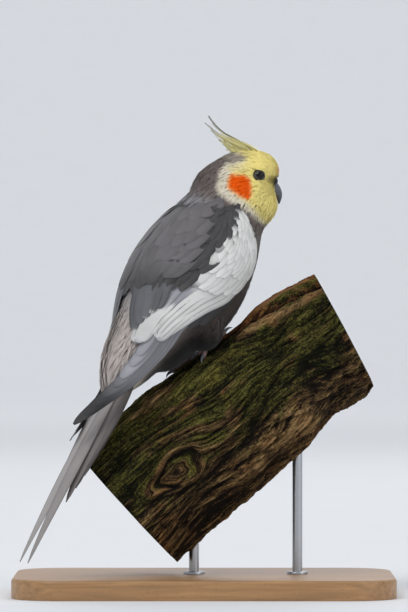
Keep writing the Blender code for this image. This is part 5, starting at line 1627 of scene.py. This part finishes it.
def bark_points(along, around):
    """Points of the bark, with the fibre's place, how mossy and bare each one is, and how sunk each one is with painted
    shade added.

    Fibres and furrows run along the limb and part round the knot. A groove runs from the bird's
    feet to the upper end. The bark stays near the solid's radius where the feet grip it.
    """
    centre, ahead = limb_axis(along)
    rise = np.cross(LIMB_SIDE, ahead)
    outward = rise * np.cos(around)[:, None] + LIMB_SIDE * np.sin(around)[:, None]
    x, y = around * LIMB_RADIUS, along * LIMB_LENGTH
    fibre, reach = fibre_lines(x, y)
    fibre = fibre / LIMB_RADIUS
    grain = np.zeros((len(along), 3))
    coarse, furrows, wrinkles, clumps, fine = np.zeros((5, len(along)))
    for i in range(len(along)):
        drift = noise.noise(Vector((math.cos(around[i]) * 1.2, math.sin(around[i]) * 1.2, y[i] * 0.022)))
        a = fibre[i] + 0.2 * drift
        line = Vector((math.cos(a) * LIMB_RADIUS, math.sin(a) * LIMB_RADIUS, y[i]))
        grain[i] = line
        flat = Vector((line.x, line.y, line.z * 0.32))
        coarse[i] = noise.fractal(flat * 0.055, 0.9, 2.0, 3)
        clumps[i] = noise.fractal(flat * 0.12 + Vector((0.0, 0.0, 40.0)), 0.7, 2.2, 5)
        long = Vector((line.x, line.y, line.z * 0.15))
        furrows[i] = noise.noise(long * 0.17)
        wrinkles[i] = noise.noise(long * 0.42 + Vector((9.0, 0.0, 0.0)))
        fine[i] = noise.fractal(long * 0.8, 0.6, 2.1, 3)
    feet = np.exp(-(around**2) / 0.10) * np.exp(-((along - 0.52) ** 2) / 0.018)
    furrow = np.exp(-((furrows / 0.13) ** 2))
    wrinkle = np.exp(-((wrinkles / 0.17) ** 2))
    groove_line = 0.44 + 0.08 * np.sin(along * 9.0)
    groove = np.exp(-(((around - groove_line) * LIMB_RADIUS) / 2.6) ** 2) * ramp(along, 0.56, 0.68)
    ridge = np.exp(-(((around - groove_line - 0.22) * LIMB_RADIUS) / 3.6) ** 2) * ramp(along, 0.42, 0.6)
    top = ramp(np.cos(around + 0.1), 0.84, 0.96) * ramp(along, 0.45, 0.6)
    knot = np.exp(-((reach / 0.62) ** 2))
    rim = np.exp(-(((reach - 0.95) / 0.14) ** 2))
    lip = np.exp(-(((reach - 1.15) / 0.3) ** 2))
    height = 4.6 * coarse + 0.8 * fine - 1.9 * furrow * (1.0 - knot) - 0.8 * wrinkle
    height = height - 5.0 * groove + 2.6 * ridge - 1.0 * knot - 0.9 * rim + 0.8 * lip
    height = np.clip(height * (1.0 - 0.9 * feet), -6.8, 3.2)
    points = centre + outward * (limb_radius(along, around) + height)[:, None]
    upper = ramp(np.cos(around - 0.7), -0.1, 0.8)
    worn = groove + 0.8 * feet + 0.9 * top + 0.8 * ridge + knot + 0.6 * lip
    damp = clumps + 0.5 * upper + 0.2 * ramp(along, 0.35, 0.75)
    moss = upper * ramp(damp, -0.1, 0.7) * (1.0 - ramp(worn, 0.2, 0.7))
    bare = np.clip(groove + 0.7 * feet + 0.75 * top, 0.0, 1.0)
    # how sunk each point is: partly the bark's own darker furrows, partly painted shade in them
    depth_and_shade = 0.3 - 0.25 * fine - 0.42 * coarse + 0.34 * furrow + 0.22 * wrinkle
    depth_and_shade = depth_and_shade + 0.2 * rim - 0.05 * lip + 0.5 * groove - 0.4 * ridge
    # darker on the limb's underside: painted shade
    depth_and_shade = depth_and_shade + 0.2 * ramp(-np.cos(around - 0.6), -0.4, 0.8)
    return points, grain, moss, bare, np.clip(depth_and_shade, 0.0, 1.0)


def tone_ramp(tree, share, *tones):
    """Colours in a row, each a place and a colour, mixed by a share from 0 to 1."""
    made = add(tree, "ValToRGB", {0: share})
    stops = made.color_ramp.elements
    while len(stops) < len(tones):
        stops.new(0.5)
    for stop, (place, colour) in zip(stops, tones):
        stop.position = place
        stop.color = (*colour, 1.0)
    return made


def crease(tree, value, width):
    """1 on thin lines where a pattern passes its middle, and 0 a width away from them."""
    off = add(tree, "Math", {0: value, 1: 0.5}, operation="SUBTRACT")
    size = add(tree, "Math", {0: off.outputs[0]}, operation="ABSOLUTE")
    return add(tree, "MapRange", {0: size.outputs[0], 1: 0.0, 2: width, 3: 1.0, 4: 0.0}).outputs[0]


def bark(name, mount):
    """Weathered bark: fibrous and cracked, with moss and worn bare wood; painted shade darkens its furrows, cracks and
    underside.
    """
    material, tree, shader = finish(name, 0.9, Specular_IOR_Level=0.2)
    grain = add(tree, "Attribute", attribute_name="grain").outputs["Vector"]
    place = millimetres(tree)
    # Strands are some 2 mm across and fibres 1 mm, both ten times as long
    strand_place = add(tree, "Mapping", {"Vector": grain, "Scale": (0.5, 0.5, 0.06)})
    strands = add(tree, "TexNoise", {"Vector": strand_place.outputs[0], "Scale": 1.0, "Detail": 5.0})
    fibre_place = add(tree, "Mapping", {"Vector": grain, "Scale": (1.0, 1.0, 0.11)})
    fibres = add(tree, "TexNoise", {"Vector": fibre_place.outputs[0], "Scale": 1.0, "Detail": 6.0, "Roughness": 0.62})
    broad = add(tree, "TexNoise", {"Vector": place, "Scale": 0.055, "Detail": 5.0})
    speckle = add(tree, "TexNoise", {"Vector": place, "Scale": 0.9, "Detail": 6.0, "Roughness": 0.65})
    depth_and_shade = add(tree, "Attribute", attribute_name="depth_and_shade").outputs["Fac"]
    split = crease(tree, strands.outputs[0], 0.035)
    fray = crease(tree, fibres.outputs[0], 0.05)
    sunk = add(tree, "MapRange", {0: fibres.outputs[0], 1: 0.3, 2: 0.7, 3: 0.26, 4: -0.26})
    lumps = add(tree, "MapRange", {0: speckle.outputs[0], 1: 0.3, 2: 0.7, 3: 0.2, 4: -0.2})
    # depth gathers the stored depth and painted shade with sunk fibres, lumps and thin cracks; it darkens the colour
    # below
    depth = add(tree, "Math", {0: depth_and_shade, 1: sunk.outputs[0]}, operation="ADD")
    depth = add(tree, "Math", {0: depth.outputs[0], 1: lumps.outputs[0]}, operation="ADD")
    depth = add(tree, "Math", {0: split, 1: 0.35, 2: depth.outputs[0]}, operation="MULTIPLY_ADD")
    depth = add(tree, "Math", {0: fray, 1: 0.3, 2: depth.outputs[0]}, operation="MULTIPLY_ADD").outputs[0]
    # tones run from light on raised ridges to dark in furrows and underneath: partly the bark's own colour, partly
    # painted light and shade
    tones = tone_ramp(tree, depth, (0.05, mount.bleached_and_lit_bark), (0.4, mount.bark), (0.85, mount.bark_dark))
    bare_tones = tone_ramp(
        tree, depth, (0.1, mount.bare), (0.5, np.multiply(mount.bare, 0.4)), (0.9, mount.bark_dark)
    )
    bare = add(tree, "Attribute", attribute_name="bare").outputs["Fac"]
    worn = add(tree, "Mix", {0: bare, 6: tones.outputs[0], 7: bare_tones.outputs[0]}, data_type="RGBA")
    warm = add(tree, "MapRange", {0: broad.outputs[0], 1: 0.5, 2: 0.7, 3: 0.0, 4: 0.5})
    warmer = add(tree, "Mix", {0: warm.outputs[0], 6: worn.outputs[2], 7: bare_tones.outputs[0]}, data_type="RGBA")
    # moss brighter on its tufts and near black between them: partly its own colour, partly painted highlight and shade
    tufts = add(tree, "Math", {0: depth, 1: -0.35, 2: speckle.outputs[0]}, operation="MULTIPLY_ADD")
    moss_tones = tone_ramp(
        tree, tufts.outputs[0], (0.2, np.multiply(mount.moss, 0.15)), (0.36, np.multiply(mount.moss, 0.6)),
        (0.55, np.multiply(mount.moss, 1.6)),
    )
    moss = add(tree, "Attribute", attribute_name="moss").outputs["Fac"]
    broken = add(tree, "Math", {0: fibres.outputs[0], 1: 1.4, 2: moss}, operation="MULTIPLY_ADD")
    mossy = add(tree, "MapRange", {0: broken.outputs[0], 1: 0.85, 2: 1.35, 3: 0.0, 4: 0.82})
    green = add(tree, "Mix", {0: mossy.outputs[0], 6: warmer.outputs[2], 7: moss_tones.outputs[0]}, data_type="RGBA")
    # darker in the deepest pits: painted shade
    painted_pit_shade = add(tree, "MapRange", {0: depth, 1: 0.55, 2: 1.15, 3: 1.0, 4: 0.4})
    shaded = add(tree, "VectorMath", {0: green.outputs[2], "Scale": painted_pit_shade.outputs[0]}, operation="SCALE")
    middle = add(tree, "VectorMath", {0: grain, 1: (1.0, 1.0, 0.0)}, operation="MULTIPLY")
    radius = add(tree, "VectorMath", {0: middle.outputs[0]}, operation="LENGTH")
    wobble = add(tree, "Math", {0: broad.outputs[0], 1: 9.0, 2: radius.outputs["Value"]}, operation="MULTIPLY_ADD")
    wave = add(tree, "Math", {0: wobble.outputs[0], 1: 2.6}, operation="MULTIPLY")
    ring = add(tree, "Math", {0: wave.outputs[0]}, operation="SINE")
    rings = add(tree, "MapRange", {0: ring.outputs[0], 1: -1.0})
    sawn = tone_ramp(tree, rings.outputs[0], (0.0, linear("7d5b3c")), (1.0, linear("b08c63")))
    cut = add(tree, "Attribute", attribute_name="cut").outputs["Fac"]
    final = add(tree, "Mix", {0: cut, 6: shaded.outputs[0], 7: sawn.outputs[0]}, data_type="RGBA")
    raised = add(tree, "Math", {0: speckle.outputs[0], 1: 0.6, 2: fibres.outputs[0]}, operation="MULTIPLY_ADD")
    raised = add(tree, "Math", {0: split, 1: -0.7, 2: raised.outputs[0]}, operation="MULTIPLY_ADD")
    raised = add(tree, "Math", {0: fray, 1: -0.3, 2: raised.outputs[0]}, operation="MULTIPLY_ADD")
    bump = add(tree, "Bump", {"Height": raised.outputs[0], "Strength": 1.0, "Distance": 1.3 * MM})
    tree.links.new(final.outputs[2], shader.inputs["Base Color"])
    tree.links.new(bump.outputs[0], shader.inputs["Normal"])
    return material


def beech(name, mount):
    """Oiled beech: fine straight grain with short dark flecks, and a soft low shine."""
    material, tree, shader = finish(name, 0.42, Coat_Weight=0.15, Coat_Roughness=0.35)
    place = millimetres(tree)
    along = add(tree, "Mapping", {"Vector": place, "Scale": (0.02, 0.35, 0.35)})
    grain = add(tree, "TexNoise", {"Vector": along.outputs[0], "Scale": 1.0, "Detail": 6.0, "Distortion": 0.4})
    fleck_place = add(tree, "Mapping", {"Vector": place, "Scale": (0.35, 2.2, 2.2)})
    flecks = add(tree, "TexNoise", {"Vector": fleck_place.outputs[0], "Scale": 1.0, "Detail": 2.0})
    tones = add(tree, "ValToRGB", {0: grain.outputs[0]})
    tones.color_ramp.elements[0].position = 0.3
    tones.color_ramp.elements[0].color = (*np.multiply(mount.board, 0.62), 1.0)
    tones.color_ramp.elements[1].position = 0.7
    tones.color_ramp.elements[1].color = (*mount.board, 1.0)
    dark = add(tree, "MapRange", {0: flecks.outputs[0], 1: 0.62, 2: 0.72, 3: 1.0, 4: 0.72})
    colour = add(tree, "VectorMath", {0: tones.outputs[0], "Scale": dark.outputs[0]}, operation="SCALE")
    bump = add(tree, "Bump", {"Height": grain.outputs[0], "Strength": 0.12, "Distance": 0.1 * MM})
    tree.links.new(colour.outputs[0], shader.inputs["Base Color"])
    tree.links.new(bump.outputs[0], shader.inputs["Normal"])
    return material


def brushed_steel(name):
    """Stainless steel, turned and brushed round: fine level lines that draw out the highlights."""
    material, tree, shader = finish(name, 0.32, Metallic=1.0)
    lines = add(tree, "Mapping", {"Vector": millimetres(tree), "Scale": (0.2, 0.2, 9.0)})
    marks = add(tree, "TexNoise", {"Vector": lines.outputs[0], "Scale": 1.0, "Detail": 3.0})
    tone = add(tree, "MapRange", {0: marks.outputs[0], 1: 0.3, 2: 0.7, 3: 0.88, 4: 1.0})
    colour = add(tree, "VectorMath", {0: linear("bfc1c4"), "Scale": tone.outputs[0]}, operation="SCALE")
    bump = add(tree, "Bump", {"Height": marks.outputs[0], "Strength": 0.15, "Distance": 0.03 * MM})
    tree.links.new(colour.outputs[0], shader.inputs["Base Color"])
    tree.links.new(bump.outputs[0], shader.inputs["Normal"])
    return material


def paper(name, mount):
    """A matt paper sweep: pale and even, with the faintest tooth."""
    material, tree, shader = finish(name, 0.9, Specular_IOR_Level=0.1)
    tooth = add(tree, "TexNoise", {"Vector": millimetres(tree), "Scale": 0.02, "Detail": 3.0})
    tone = add(tree, "MapRange", {0: tooth.outputs[0], 3: 0.985, 4: 1.015})
    colour = add(tree, "VectorMath", {0: tuple(mount.floor), "Scale": tone.outputs[0]}, operation="SCALE")
    tree.links.new(colour.outputs[0], shader.inputs["Base Color"])
    return material


class VIEW3D_PT_cockatiel(bpy.types.Panel):
    """Lists the pieces and their settings"""

    bl_idname = "VIEW3D_PT_cockatiel"
    bl_label = "Cockatiel"
    bl_space_type = "VIEW_3D"
    bl_region_type = "UI"
    bl_category = "Cockatiel"

    def draw(self, context):
        for step in STEPS:
            self.layout.operator(step.bl_idname)
        for settings in (context.scene.bird, context.scene.mount):
            box = self.layout.box()
            for name in settings.bl_rna.properties.keys():
                if name not in ("rna_type", "name"):
                    box.prop(settings, name)


STEPS = (
    BIRD_OT_skin,
    BIRD_OT_wings,
    BIRD_OT_tail,
    BIRD_OT_crest,
    BIRD_OT_eyes,
    BIRD_OT_bill,
    BIRD_OT_feet,
    MOUNT_OT_perch,
    MOUNT_OT_stand,
    STUDIO_OT_stage,
)
CLASSES = (BirdSettings, MountSettings, *STEPS, VIEW3D_PT_cockatiel)


def register():
    for cls in CLASSES:
        bpy.utils.register_class(cls)
    bpy.types.Scene.bird = PointerProperty(type=BirdSettings)
    bpy.types.Scene.mount = PointerProperty(type=MountSettings)


def unregister():
    del bpy.types.Scene.mount
    del bpy.types.Scene.bird
    for cls in reversed(CLASSES):
        bpy.utils.unregister_class(cls)


def main():
    register()
    bpy.ops.bird.skin()
    bpy.ops.bird.wings()
    bpy.ops.bird.tail()
    bpy.ops.bird.crest()
    bpy.ops.bird.eyes()
    bpy.ops.bird.bill()
    bpy.ops.bird.feet()
    bpy.ops.mount.perch()
    bpy.ops.mount.stand()
    bpy.ops.studio.stage()


if __name__ == "__main__":
    main()
